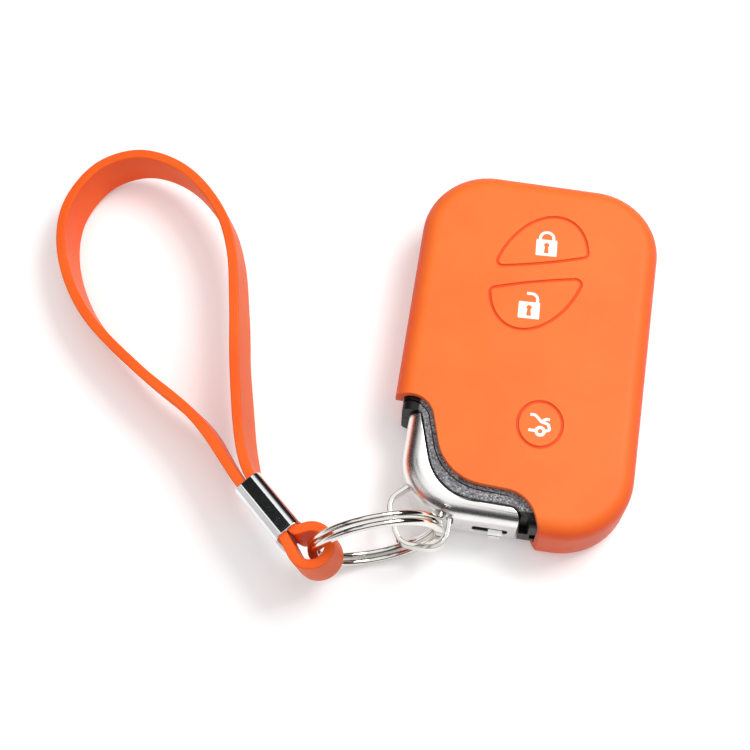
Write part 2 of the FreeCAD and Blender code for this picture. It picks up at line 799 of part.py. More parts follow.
def make_cell():
    """Coin cell and its two contacts under the board."""
    place = Vector(size("cell_x"), size("cell_y"), worked_out(CELL_BOTTOM))
    can = cylinder("cell_can", "sizes.cell_width / 2", "sizes.cell_height - sizes.cell_step", place)
    can = eased("cell_soft_can", can, size("cell_round"), lambda edge: edge.BoundBox.XLength > size("cell_width") / 2)
    cap = cylinder("cell_cap", "sizes.cell_width / 2 - sizes.cell_rim", "sizes.cell_height", place)
    keep("coin_cell", fuse("cell", can, cap))
    thick = size("contact_thickness")
    board = size("split_height")
    cell_top = place.z + size("cell_height")
    half = size("contact_length") / 2
    middle = board - thick / 2
    low = cell_top + thick / 2
    points = [Vector(place.x - half, middle, 0), Vector(place.x, middle, 0),
              Vector(place.x + half / 2, low, 0), Vector(place.x + half, low, 0)]
    keep("cell_spring", side_prism("spring_contact", ribbon(points, [0, thick, thick, 0], thick),
                                   place.y - size("contact_width") / 2, size("contact_width")))
    side = place.x + size("cell_width") / 2 + thick / 2
    foot = place.z + size("cell_height") / 2
    points = [Vector(side + size("clip_foot"), middle, 0), Vector(side, middle, 0), Vector(side, foot, 0)]
    keep("cell_clip", side_prism("clip_contact", ribbon(points, [0, thick, 0], thick),
                                 place.y - size("clip_width") / 2, size("clip_width")))


# Emergency key

def lug_path():
    """Points and bends of the lug's centre line in plan."""
    end_face = -head_half_length
    points = [Vector(size("lug_x") + x * size("lug_width"), end_face + y * size("lug_depth"), 0)
              for x, y in LUG_SHARES]
    return points, [0] + [size("lug_bend")] * 3 + [0]


def latch_space():
    """Limits in X of the pocket behind the head's slot."""
    right = size("latch_x") + size("latch_plate") / 2 + size("latch_fit")
    left = size("latch_x") - size("latch_plate") / 2 - size("latch_travel") - size("spring_space")
    return left, right


def head_inner_edge():
    """Y of the head's straight inner edge beside the latch."""
    return (HEAD_SHARES[2][1] + HEAD_SHARES[3][1]) / 2 * cover_half_length


def make_key_head():
    """Cast metal corner of the fob, with the blade slot, lug sockets and latch slot."""
    top, bottom = worked_out(HEAD_TOP), worked_out(HEAD_BOTTOM)
    corner = case_corner - size("head_inset")
    block = prism_between("head_block", plate(head_half_width, head_half_length, corner), HEAD_BOTTOM, HEAD_TOP)
    block = eased("head_soft_top", block, size("head_round"), at_height(top))
    block = eased("head_soft_block", block, size("head_edge"), at_height(bottom))
    corner_piece = common("head_corner", block, through("head_inner", open_corner(HEAD_SHARES, 0)))
    blade = prism_between("head_blade_slot", blade_outline(size("blade_fit")),
                          "sizes.blade_height - sizes.blade_fit",
                          "sizes.blade_height + sizes.blade_thickness + sizes.blade_fit")
    pin = cylinder("head_pin_hole", "sizes.pin_width / 2 + sizes.pin_fit",
                   "sizes.pin_height + sizes.overrun + sizes.pin_fit",
                   pin_place() + UP * (bottom - overrun))
    points, bends = lug_path()
    lug = prism("head_lug_socket", ribbon(points, bends, size("lug_thickness") + 2 * size("lug_fit")),
                "sizes.lug_bottom - sizes.lug_fit", "sizes.lug_height + 2 * sizes.lug_fit")
    half_slot = size("slot_length") / 2
    half_high = size("slot_width") / 2
    slot = side_prism("head_slot", rectangle(size("slot_x") - half_slot, size("slot_x") + half_slot,
                                             size("slot_height") - half_high, size("slot_height") + half_high,
                                             half_high),
                      -head_half_length - overrun, head_half_length + overrun + head_inner_edge() + overrun)
    left, right = latch_space()
    half_plate = size("latch_plate_height") / 2 + size("latch_fit")
    recess_depth = size("latch_plate_depth") + 2 * size("latch_fit")
    recess = side_prism("head_recess", rectangle(left, right, size("slot_height") - half_plate,
                                                 size("slot_height") + half_plate),
                        head_inner_edge() - recess_depth, recess_depth + overrun)
    rivet = doc.addObject("Part::Cylinder", "head_rivet_hole")
    rivet.setExpression("Radius", "sizes.rivet_shank / 2 + sizes.lug_fit")
    rivet.setExpression("Height", "sizes.rivet_depth + sizes.lug_fit + sizes.overrun")
    rivet.Placement = Placement(Vector(size("rivet_x"), -head_half_length - overrun, size("rivet_height")),
                                Rotation(Vector(1, 0, 0), -90))
    keep("key_head", cut("head_casting", corner_piece, blade, pin, lug, slot, recess, rivet))


def blade_outline(grow):
    """Blade with its narrower tang, pointed at the far end, grown all round."""
    centre, half, half_tang = size("blade_x"), size("blade_width") / 2, size("tang_width") / 2
    tang_x = centre + half - half_tang
    shoulder = -size("tang_end") + size("tang_length")
    points = [
        Vector(tang_x - half_tang, -size("tang_end"), 0),
        Vector(tang_x + half_tang, -size("tang_end"), 0),
        Vector(centre + half, size("blade_tip") - size("blade_point"), 0),
        Vector(centre + half - size("blade_point"), size("blade_tip"), 0),
        Vector(centre - half + size("blade_point"), size("blade_tip"), 0),
        Vector(centre - half, size("blade_tip") - size("blade_point"), 0),
        Vector(centre - half, shoulder, 0),
        Vector(tang_x - half_tang, shoulder, 0),
    ]
    points, _ = shifted(points, [0] * len(points), -grow)
    return rounded(points, [0] * len(points))


def pin_place():
    """Centre of the pin through the blade's tang."""
    tang_x = size("blade_x") + size("blade_width") / 2 - size("tang_width") / 2
    return Vector(tang_x, -size("tang_end") + size("pin_width") * 3 / 4, 0)


def make_blade():
    """Flat blade with a milled groove in each face, and the pin that holds it in the head."""
    blade = body_of("blade_body")
    sketch = sketch_in(blade, "blade_shape", blade_outline(0), lift="sizes.blade_height")
    pad(blade, "blade_pad", sketch, "sizes.blade_thickness")
    half = size("blade_groove") / 2
    groove = rectangle(size("blade_x") - half, size("blade_x") + half,
                       -size("tang_end") + size("tang_length") + size("blade_width"),
                       size("blade_tip") - size("blade_width"), half)
    upper = sketch_in(blade, "upper_groove_shape", groove, lift="sizes.blade_height + sizes.blade_thickness")
    pocket(blade, "upper_groove", upper, "sizes.blade_groove_depth")
    lower = sketch_in(blade, "lower_groove_shape", groove, lift="sizes.blade_height")
    pocket(blade, "lower_groove", lower, "sizes.blade_groove_depth", upward=True)
    hole = sketch_in(blade, "pin_hole_shape",
                     [Part.Circle(pin_place(), UP, size("pin_width") / 2 + size("pin_fit"))],
                     lift="sizes.blade_height + sizes.blade_thickness + sizes.overrun")
    pocket(blade, "pin_hole", hole, "sizes.blade_thickness + 2 * sizes.overrun")
    keep("key_blade", blade)
    keep("blade_pin", cylinder("pin_bar", "sizes.pin_width / 2", "sizes.pin_height",
                               pin_place() + UP * worked_out(HEAD_BOTTOM)))


def make_lug():
    """Bent strip that holds the ring, and the domed rivet beside its right leg."""
    points, bends = lug_path()
    lug = body_of("lug_body")
    sketch = sketch_in(lug, "lug_outline", ribbon(points, bends, size("lug_thickness")), lift="sizes.lug_bottom")
    pad(lug, "lug_pad", sketch, "sizes.lug_height")
    keep("ring_lug", lug)
    rivet = body_of("rivet_body")
    dome, shank = size("rivet_head") / 2, size("rivet_shank") / 2
    end, depth = -head_half_length, size("rivet_depth")
    circle = Part.Circle(Vector(0, end, 0), UP, dome)
    edges = [
        Part.ArcOfCircle(circle, -math.pi / 2, 0),
        Part.LineSegment(Vector(dome, end, 0), Vector(shank, end, 0)),
        Part.LineSegment(Vector(shank, end, 0), Vector(shank, end + depth, 0)),
        Part.LineSegment(Vector(shank, end + depth, 0), Vector(0, end + depth, 0)),
        Part.LineSegment(Vector(0, end + depth, 0), Vector(0, end - dome, 0)),
    ]
    turned = rivet.newObject("PartDesign::Revolution", "rivet_turned")
    turned.Profile = sketch_in(rivet, "rivet_section", edges)
    turned.ReferenceAxis = (turned.Profile[0], ["V_Axis"])
    turned.Angle = 360
    keep("lug_rivet", rivet, Placement(Vector(size("rivet_x"), 0, size("rivet_height")), Rotation()))


def make_latch():
    """Sliding release button in the head's slot, and the folded leaf that pushes it back."""
    fit = size("latch_fit")
    half, half_high = size("latch_width") / 2, size("slot_width") / 2 - fit
    x, z = size("latch_x"), size("slot_height")
    inner = head_inner_edge()
    plate_front = inner - size("latch_plate_depth") - fit
    outside = -head_half_length - size("latch_rise")
    button = side_prism("latch_button", rectangle(x - half, x + half, z - half_high - fit, z + half_high + fit),
                        outside, size("latch_rise") - fit / 2)
    button = eased("latch_soft_button", button, size("latch_round"),
                   lambda edge: edge.BoundBox.YMax < outside + fit)
    stem = side_prism("latch_stem", rectangle(x - half + fit, x + half - fit, z - half_high, z + half_high),
                      outside + size("latch_rise") / 2, plate_front - outside)
    half_plate = size("latch_plate") / 2
    half_tall = size("latch_plate_height") / 2
    slab = side_prism("latch_slab", rectangle(x - half_plate, x + half_plate, z - half_tall, z + half_tall),
                      plate_front, size("latch_plate_depth"))
    keep("release_latch", fuse("latch", button, stem, slab))
    left, _ = latch_space()
    right = x - half_plate
    leaf = size("spring_leaf")
    room = right - left - 2 * leaf
    front, back = plate_front + leaf, inner - fit - leaf
    count = 5
    zigzag = [Vector(left + leaf + room * step / count, back if step % 2 else front, 0) for step in range(count + 1)]
    spring = body_of("spring_body")
    sketch = sketch_in(spring, "spring_outline",
                       ribbon(zigzag, [0] + [leaf] * (count - 1) + [0], leaf),
                       lift="sizes.slot_height - sizes.latch_plate_height / 2 + sizes.latch_fit")
    pad(spring, "spring_pad", sketch, "sizes.latch_plate_height - 2 * sizes.latch_fit")
    keep("latch_spring", spring)


# Ring and strap

ring_radius = (size("ring_width") - size("ring_band")) / 2
ring_pitch = size("ring_coil") + size("ring_gap")
ring_along = heading(size("ring_turn"))
ring_across = heading(size("ring_turn") + 90)
ring_eye = Vector(size("lug_x") + size("ring_x"), size("ring_y") - head_half_length, 0)
lug_level = size("lug_bottom") + size("lug_height") / 2
ring_hang = math.sqrt(ring_radius ** 2 - (size("ring_width") / 2 - lug_level) ** 2)
ring_middle = ring_eye - ring_along * ring_hang + UP * (size("ring_width") / 2)


def ring_point(degrees, layer):
    """Point of the ring's centre line: 0 degrees is the strap's end of the ring, and layer is -1 or 1."""
    angle = math.radians(degrees)
    outward = ring_along * -math.cos(angle) + UP * math.sin(angle)
    return ring_middle + outward * ring_radius + ring_across * (layer * ring_pitch / 2)


def ring_tangent(degrees):
    """Direction of travel along the ring's centre line."""
    angle = math.radians(degrees)
    return ring_along * math.sin(angle) + UP * math.cos(angle)


def biarc(start, start_way, end, end_way):
    """Two tangent arcs that leave start and reach end in the given directions."""
    gap = end - start
    ways = start_way + end_way
    square = ways.dot(ways) - 4
    linear = -2 * gap.dot(ways)
    reach = (-linear - math.sqrt(linear * linear - 4 * square * gap.dot(gap))) / (2 * square)
    corners = start + start_way * reach, end - end_way * reach
    joint = (corners[0] + corners[1]) / 2
    arcs = []
    for first, corner, last in ((start, corners[0], joint), (joint, corners[1], end)):
        half_chord = (last - first) / 2
        cosine = half_chord.Length / (corner - first).Length
        middle = (first + last) / 2
        arcs.append(Part.Arc(first, middle + (corner - middle) * (cosine / (1 + cosine)), last).toShape())
    return arcs


def make_split_ring():
    """Two flat coils of one bar, with the step between them at the strap's end."""
    gap = size("ring_open")
    quarter = (360 - 2 * gap) / 4
    edges = []
    for layer, first in ((-1, gap), (1, 360 + gap)):
        if layer == 1:
            edges += biarc(ring_point(360 - gap, -1), ring_tangent(-gap), ring_point(gap, 1), ring_tangent(gap))
        for step in range(4):
            start = first + step * quarter
            stops = [ring_point(start + quarter * part / 2, layer) for part in range(3)]
            edges.append(Part.Arc(*stops).toShape())
    spine = Part.Wire(edges)
    outward = unit(ring_point(gap, -1) - ring_middle - ring_across * (-ring_pitch / 2))
    half_band, half_coil = outward * (size("ring_band") / 2), ring_across * (size("ring_coil") / 2)
    corners = [half_band + half_coil, half_coil - half_band, -half_band - half_coil, half_band - half_coil]
    section = Part.makePolygon([ring_point(gap, -1) + corner for corner in corners + corners[:1]])
    sweep = Part.BRepOffsetAPI.MakePipeShell(spine)
    sweep.setBiNormalMode(ring_across)
    sweep.add(section)
    sweep.build()
    sweep.makeSolid()
    ring = doc.addObject("Part::Feature", "ring_sweep")
    ring.Shape = sweep.shape()
    keep("split_ring", ring)
    samples = spine.discretize(Number=400)
    least = min((a - b).Length for i, a in enumerate(samples) for b in samples[i + 12:])
    print("split ring: least gap between coils %.2f mm" % (least - size("ring_coil")))


strand_offset = (size("strap_thickness") + size("strap_slit")) / 2
fold_radius = (size("fold_space") + size("strap_thickness")) / 2
ferrule_along = heading(FERRULE_HEADING)
ferrule_left = heading(FERRULE_HEADING + 90)
ferrule_mouth = ferrule_along * (size("ferrule_length") / 2 + size("ferrule_fit"))
fold_centre = ferrule_mouth + heading(FOLD_HEADING) * size("fold_reach")
loop_centre = Vector(*LOOP_CENTRE_SHARES, 0) * size("loop_reach")


def direction(vector):
    """Heading of a vector in plan, in degrees."""
    return math.degrees(math.atan2(vector.y, vector.x))


def joining_headings(start, centre, end, swing):
    """Headings at which a left-hand arc is met from start and left for end, the swing being the radii between."""
    arriving, leaving = centre - start, end - centre
    first = direction(arriving) - math.degrees(math.asin(swing / arriving.Length))
    last = direction(leaving) + math.degrees(math.asin(swing / leaving.Length))
    while last < first:
        last += 360
    return first, last


def arc_corners(centre, radius, first, last, count=1):
    """Corners, with their radius, from which an arc between two headings is cut."""
    side = -90 if last > first else 90
    step = (last - first) / count
    spread = radius / math.cos(math.radians(step) / 2)
    return [(centre + heading(first + step * (index + 1 / 2) + side) * spread, radius) for index in range(count)]


def strap_path():
    """Points and bends of the strap's centre line, in plan, about the ferrule's centre."""
    bend = size("strap_thickness") * EXIT_BEND_SHARE
    right_exit = ferrule_mouth - ferrule_left * (strand_offset + bend)
    left_exit = ferrule_mouth + ferrule_left * (strand_offset + bend)
    first, last = joining_headings(right_exit, fold_centre, left_exit, fold_radius + bend)
    path = arc_corners(right_exit, bend, FERRULE_HEADING, first)
    path += arc_corners(fold_centre, fold_radius, first, last, count=4)
    path += arc_corners(left_exit, bend, last, FERRULE_HEADING + 180)
    reach = size("loop_reach")
    bend_share, radius_share = FERRULE_BEND_SHARES
    bend_place = -ferrule_mouth - ferrule_along * (bend_share * reach)
    path.append((bend_place + ferrule_left * strand_offset, radius_share * reach))
    right = [(Vector(x, y, 0) * reach, radius * reach) for x, y, radius in RIGHT_STRAND_SHARES]
    left = [(Vector(x, y, 0) * reach, radius * reach) for x, y, radius in LEFT_STRAND_SHARES]
    loop_radius = size("loop_width") / 2
    first, last = joining_headings(right[-1][0], loop_centre, left[0][0], loop_radius)
    path += right + arc_corners(loop_centre, loop_radius, first, last, count=3) + left
    behind = -ferrule_mouth - ferrule_along * (size("strap_thickness") / 2)
    path.append((behind - ferrule_left * strand_offset, radius_share * reach))
    return [point for point, _ in path], [radius for _, radius in path]


def strap_dip(lean):
    """Angle at which the leaning loop's lowest edge comes down to the table."""
    half = size("strap_width") / 2
    radius = (size("loop_width") + size("strap_thickness")) / 2
    fall = size("strap_lift") - size("strap_rest")
    reach = (loop_centre - fold_centre).Length
    dip = 0
    for _ in range(DIP_ROUNDS):
        steepness = math.hypot(math.cos(dip) * math.sin(lean), math.sin(dip))
        dip = math.asin((fall + half - half * math.cos(lean) * math.cos(dip) - radius * steepness) / reach)
    return dip


def strap_placement():
    """Carries the strap to the ring's outer end, leans it and lets its loop down to the table."""
    drop = math.sqrt(ring_radius ** 2 - (size("strap_width") / 2) ** 2)
    wire = ring_middle - ring_along * ((ring_radius + drop) / 2)
    seat = Vector(wire.x, wire.y, size("strap_lift"))
    middle = UP * (size("strap_width") / 2)
    towards_loop = unit(loop_centre - fold_centre)
    lean = Rotation(towards_loop, -size("strap_lean"))
    dip = Rotation(UP.cross(towards_loop), math.degrees(strap_dip(math.radians(size("strap_lean")))))
    return Placement(seat + middle, dip.multiply(lean)).multiply(Placement(-fold_centre - middle, Rotation()))


def make_strap():
    """Flat strap standing on its edge: a long wrist loop and a short fold round the ring."""
    points, radii = strap_path()
    outside = rounded(*shifted(points, radii, -size("strap_thickness") / 2))
    inside = rounded(*shifted(points, radii, size("strap_thickness") / 2))
    strap = body_of("strap_body")
    pad(strap, "strap_pad", sketch_in(strap, "strap_outline", outside + inside), "sizes.strap_width")
    keep("strap", strap, strap_placement())


def make_ferrule():
    """Crimped metal sleeve round both strands of the strap."""
    fit, wall = size("ferrule_fit"), size("ferrule_wall")
    half_width = strand_offset + size("strap_thickness") / 2 + fit
    half_height = size("strap_width") / 2 + fit
    sleeve = body_of("ferrule_body")
    outside = plate(half_width + wall, half_height + wall, min(size("ferrule_round"), half_width))
    pad(sleeve, "ferrule_pad", sketch_in(sleeve, "ferrule_outline", outside, lift="-sizes.ferrule_length / 2"),
        "sizes.ferrule_length")
    hole = sketch_in(sleeve, "ferrule_hole_outline", plate(half_width, half_height, 0),
                     lift="sizes.ferrule_length / 2 + sizes.overrun")
    pocket(sleeve, "ferrule_hole", hole, "sizes.ferrule_length + 2 * sizes.overrun")
    lengthwise = Rotation(ferrule_left, UP, ferrule_along, "ZXY")
    centred = Placement(UP * (size("strap_width") / 2), lengthwise)
    keep("strap_ferrule", sleeve, strap_placement().multiply(centred))


make_cover()
make_buttons()
make_front_housing()
make_rear_housing()
make_trim_strip()
make_board()
make_board_parts()
make_cell()
make_key_head()
make_blade()
make_lug()
make_latch()
make_split_ring()
make_strap()
make_ferrule()
doc.recompute()

for item in doc.Objects:
    if "Invalid" in item.State or "Error" in item.State:
        raise RuntimeError("%s could not be built" % item.Label)
for node, item in nodes.items():
    if item.Shape.isNull() or not item.Shape.isValid() or not item.Shape.Solids:
        raise RuntimeError("%s has no sound solid" % node)

os.makedirs("parts", exist_ok=True)
for node, item in nodes.items():
    item.Shape.exportStep("parts/%s.step" % node)
    box = item.Shape.BoundBox
    print("%-15s solids %d  volume %8.1f  x %6.1f %6.1f  y %6.1f %6.1f  z %5.1f %5.1f" % (
        node, len(item.Shape.Solids), item.Shape.Volume,
        box.XMin, box.XMax, box.YMin, box.YMax, box.ZMin, box.ZMax))
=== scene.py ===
"""Looks of a key fob in an orange silicone cover, with its emergency key, split ring and wrist strap.

Lengths are in millimetres until a mesh is made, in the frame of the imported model: X to the fob's right,
Y to its top end and Z up from the table.
"""

import logging
import math
from dataclasses import dataclass, field
from enum import Enum
from typing import Callable, Optional, Sequence

import bpy
from mathutils import Matrix, Vector
from mathutils.geometry import interpolate_bezier
from mathutils.kdtree import KDTree


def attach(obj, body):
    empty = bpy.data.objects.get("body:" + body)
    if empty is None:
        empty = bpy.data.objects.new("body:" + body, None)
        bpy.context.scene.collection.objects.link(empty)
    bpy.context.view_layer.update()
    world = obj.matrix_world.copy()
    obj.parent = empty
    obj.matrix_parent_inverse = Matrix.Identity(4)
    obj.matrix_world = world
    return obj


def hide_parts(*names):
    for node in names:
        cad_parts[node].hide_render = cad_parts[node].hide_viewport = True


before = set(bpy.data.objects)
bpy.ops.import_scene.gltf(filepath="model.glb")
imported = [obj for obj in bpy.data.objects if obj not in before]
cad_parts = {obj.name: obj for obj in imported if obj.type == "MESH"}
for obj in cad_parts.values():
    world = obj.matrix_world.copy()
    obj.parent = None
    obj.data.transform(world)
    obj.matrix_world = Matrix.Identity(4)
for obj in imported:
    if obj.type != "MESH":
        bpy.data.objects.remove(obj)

MM = 0.001
FULL_TURN = 2 * math.pi
QUARTER_TURN = math.pi / 2
UP = Vector((0, 0, 1))
# Millimetres within which two places in an outline, or two heights, are one
SAME_PLACE = 0.001
# Radians under which a line runs straight on
STRAIGHT = 1e-6
# Millimetres within which a cut's and a seam's doubled points are merged
CUT_MERGE = 0.002
SEAM_MERGE = 0.001
# Degrees between points on small corners
SMALL_CORNER_STEP = 10.0
log = logging.getLogger("key_fob_cover")

# X, Y and rounding of each corner of a line
Corners = Sequence[tuple[float, float, float]]


class Way(Enum):
    """How a boolean joins a piece and its tool."""

    LESS = "DIFFERENCE"
    SHARED = "INTERSECT"
    JOINED = "UNION"


class Body(Enum):
    """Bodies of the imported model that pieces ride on."""

    FOB = "fob"
    LOCK = "lock"
    UNLOCK = "unlock"
    BOOT = "boot"
    KEY = "key"
    RING = "ring"
    STRAP = "strap"


class Slot(Enum):
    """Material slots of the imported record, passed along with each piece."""

    SILICONE = "silicone"
    STRAP_SILICONE = "strap_silicone"
    CASING = "casing"
    SATIN_METAL = "satin_metal"
    NICKEL = "nickel"
    CHROME = "chrome"


# Finishes

# How far red, green and blue light carry in silicone, in shares of a millimetre
LIGHT_SPREAD = (1.0, 0.32, 0.1)
# Detail and range of the fine grain and of the slow drift between two tones
GRAIN_DETAIL = 3.0
GRAIN_ROUGHNESS = 0.6
GRAIN_RANGE = (0.25, 0.75)
DRIFT_DETAIL = 2.0
DRIFT_RANGE = (0.35, 0.65)


def linear(code: str) -> tuple[float, float, float, float]:
    """Turns an sRGB hex colour into linear light.

    Args:
        code: Six hex digits, with or without a leading hash.

    Returns:
        Red, green, blue and alpha for a shader socket.
    """
    digits = code.lstrip("#")
    shares = [int(digits[place:place + 2], 16) / 255 for place in (0, 2, 4)]
    light = [s / 12.92 if s <= 0.04045 else ((s + 0.055) / 1.055) ** 2.4 for s in shares]
    return (*light, 1.0)


def per_metre(size: float) -> float:
    """Texture scale that gives a pattern this size in millimetres."""
    return 1 / (size * MM)


def add_node(tree: bpy.types.NodeTree, kind: str, links: Optional[dict] = None, inputs: Optional[dict] = None,
             **settings: object) -> bpy.types.Node:
    """Adds a node with its settings, socket values and links.

    Args:
        tree: Node tree to add to.
        kind: Blender's node type.
        links: Input name or number to the output socket that feeds it.
        inputs: Input name or number to a plain value.
        settings: Properties of the node itself.

    Returns:
        The new node.
    """
    node = tree.nodes.new(kind)
    for name, value in settings.items():
        setattr(node, name, value)
    for socket, value in (inputs or {}).items():
        node.inputs[socket].default_value = value
    for socket, source in (links or {}).items():
        tree.links.new(source, node.inputs[socket])
    return node


@dataclass(frozen=True)
class Finish:
    """A surface with fine grain: two close tones, a gloss that varies a little, and a shallow relief.

    Sizes are in millimetres. Stretch draws the grain out along one axis, as brushing does.
    """

    name: str
    tone: str
    second_tone: str
    roughness: float
    roughness_swing: float
    grain: float
    relief: float
    patch: float = 6.0
    metallic: float = 0.0
    ior: float = 1.5
    specular: float = 0.5
    subsurface: float = 0.0
    sheen: float = 0.0
    stretch: tuple[float, float, float] = (1.0, 1.0, 1.0)

    def material(self) -> bpy.types.Material:
        """The finish as a Blender material, made once."""
        made = bpy.data.materials.get(self.name)
        if made:
            return made
        made = bpy.data.materials.new(self.name)
        made.use_nodes = True
        tree = made.node_tree
        shader = tree.nodes["Principled BSDF"]
        shader.inputs["Metallic"].default_value = self.metallic
        shader.inputs["IOR"].default_value = self.ior
        shader.inputs["Specular IOR Level"].default_value = self.specular
        if self.subsurface:
            shader.inputs["Subsurface Weight"].default_value = self.subsurface
            shader.inputs["Subsurface Radius"].default_value = LIGHT_SPREAD
            shader.inputs["Subsurface Scale"].default_value = MM
        shader.inputs["Sheen Weight"].default_value = self.sheen
        place = add_node(tree, "ShaderNodeTexCoord")
        spread = add_node(tree, "ShaderNodeMapping", {"Vector": place.outputs["Object"]},
                          {"Scale": self.stretch})
        tree.links.new(self.colour(tree, spread.outputs["Vector"]), shader.inputs["Base Color"])
        grain = add_node(tree, "ShaderNodeTexNoise", {"Vector": spread.outputs["Vector"]},
                         {"Scale": per_metre(self.grain), "Detail": GRAIN_DETAIL,
                          "Roughness": GRAIN_ROUGHNESS})
        dull = add_node(tree, "ShaderNodeMapRange", {"Value": grain.outputs["Fac"]},
                        {"From Min": GRAIN_RANGE[0], "From Max": GRAIN_RANGE[1],
                         "To Min": self.roughness - self.roughness_swing,
                         "To Max": self.roughness + self.roughness_swing})
        tree.links.new(dull.outputs["Result"], shader.inputs["Roughness"])
        relief = add_node(tree, "ShaderNodeBump", {"Height": grain.outputs["Fac"]},
                          {"Strength": 1.0, "Distance": self.relief * MM})
        tree.links.new(relief.outputs["Normal"], shader.inputs["Normal"])
        return made

    def colour(self, tree: bpy.types.NodeTree, place: bpy.types.NodeSocket) -> bpy.types.NodeSocket:
        """Colours the surface in two close tones that drift over several millimetres.

        Args:
            tree: Node tree of the material.
            place: Coordinates to read.

        Returns:
            The colour to feed to the shader.
        """
        drift = add_node(tree, "ShaderNodeTexNoise", {"Vector": place},
                         {"Scale": per_metre(self.patch), "Detail": DRIFT_DETAIL})
        tones = add_node(tree, "ShaderNodeValToRGB", {"Fac": drift.outputs["Fac"]})
        self.fill_ramp(tones, list(zip(DRIFT_RANGE, (self.tone, self.second_tone))))
        return tones.outputs["Color"]

    @staticmethod
    def fill_ramp(ramp: bpy.types.Node, stops: Sequence[tuple[float, str]]) -> None:
        """Sets a colour ramp's stops.

        Args:
            ramp: Colour ramp node.
            stops: Place and hex colour of each stop, in order.
        """
        elements = ramp.color_ramp.elements
        while len(elements) < len(stops):
            elements.new(1.0)
        for element, (spot, code) in zip(elements, stops):
            element.position = spot
            element.color = linear(code)


@dataclass(frozen=True)
class Speckled(Finish):
    """A moulded plastic with fine flakes of a lighter tone and dark pits between them.

    Left of and below two limits it is painted near black as painted shade, at the ends of the fob's trim
    strip.
    """

    flake: float = 0.3
    flake_range: tuple[float, float] = (0.3, 0.75)
    flake_tone: str = "#BEC1C5"
    pit_tone: str = "#38393C"
    # Painted shade: near black past the limits, at the strip's ends
    painted_shade_tone: str = "#0E0E0F"
    shade_left_limit: float = -18.3
    shade_below_limit: float = -32.0
    shade_fade: float = 0.3

    def colour(self, tree: bpy.types.NodeTree, place: bpy.types.NodeSocket) -> bpy.types.NodeSocket:
        """Colours the surface by flakes, each cell of the pattern one tone, and paints near black shade past
        the two limits.

        Args:
            tree: Node tree of the material.
            place: Coordinates to read.

        Returns:
            The colour to feed to the shader.
        """
        cells = add_node(tree, "ShaderNodeTexVoronoi", {"Vector": place}, {"Scale": per_metre(self.flake)})
        shade = add_node(tree, "ShaderNodeSeparateColor", {"Color": cells.outputs["Color"]})
        tones = add_node(tree, "ShaderNodeValToRGB", {"Fac": shade.outputs["Red"]})
        self.fill_ramp(tones, list(zip((0.0, *self.flake_range, 1.0),
                                       (self.pit_tone, self.tone, self.second_tone, self.flake_tone))))
        parts = add_node(tree, "ShaderNodeSeparateXYZ", {"Vector": place})
        # Mask of the painted shade at the strip's ends: 0 past the limits, 1 within them
        limits = [add_node(tree, "ShaderNodeMapRange", {"Value": parts.outputs[axis]},
                           {"From Min": limit * MM, "From Max": (limit + self.shade_fade) * MM})
                  for axis, limit in (("X", self.shade_left_limit), ("Y", self.shade_below_limit))]
        within = {number: limit.outputs["Result"] for number, limit in enumerate(limits)}
        unshaded = add_node(tree, "ShaderNodeMath", within, operation="MULTIPLY")
        mixed = add_node(tree, "ShaderNodeMix", {"Factor": unshaded.outputs[0], "B": tones.outputs["Color"]},
                         data_type="RGBA")
        mixed.inputs["A"].default_value = linear(self.painted_shade_tone)
        return mixed.outputs["Result"]


@dataclass(frozen=True)
class ShadedSides(Finish):
    """A moulded rubber whose sides are painted a redder, darker tone than its top as painted shade, with a
    soft change over the rounded rim.
    """

    # Painted shade: the tone painted on the sides below wall_top, redder and darker than the top
    side_shade_tone: str = "#FF5B15"
    wall_top: float = 12.9
    face_from: float = 14.45

    def colour(self, tree: bpy.types.NodeTree, place: bpy.types.NodeSocket) -> bpy.types.NodeSocket:
        """Colours the surface by height, from the painted shade of the sides to the top's own drift of tones.

        Args:
            tree: Node tree of the material.
            place: Coordinates to read.

        Returns:
            The colour to feed to the shader.
        """
        parts = add_node(tree, "ShaderNodeSeparateXYZ", {"Vector": place})
        height = add_node(tree, "ShaderNodeMapRange", {"Value": parts.outputs["Z"]},
                          {"From Min": self.wall_top * MM, "From Max": self.face_from * MM})
        mixed = add_node(tree, "ShaderNodeMix", {"Factor": height.outputs["Result"],
                                                 "B": super().colour(tree, place)}, data_type="RGBA")
        mixed.inputs["A"].default_value = linear(self.side_shade_tone)
        return mixed.outputs["Result"]


@dataclass(frozen=True)
class Traced(Finish):
    """A circuit board's solder mask, with its copper tracks showing as paler lines under the green."""

    track: float = 1.3
    track_bend: float = 5.0
    track_wander: float = 0.4
    track_edge: tuple[float, float] = (0.55, 0.62)

    def colour(self, tree: bpy.types.NodeTree, place: bpy.types.NodeSocket) -> bpy.types.NodeSocket:
        """Colours the surface by bent parallel tracks.

        Args:
            tree: Node tree of the material.
            place: Coordinates to read.

        Returns:
            The colour to feed to the shader.
        """
        tracks = add_node(tree, "ShaderNodeTexWave", {"Vector": place},
                          {"Scale": per_metre(self.track) / FULL_TURN, "Distortion": self.track_bend,
                           "Detail": 0.0, "Detail Scale": self.track_wander}, bands_direction="DIAGONAL")
        tones = add_node(tree, "ShaderNodeValToRGB", {"Fac": tracks.outputs["Fac"]})
        self.fill_ramp(tones, list(zip(self.track_edge, (self.tone, self.second_tone))))
        return tones.outputs["Color"]


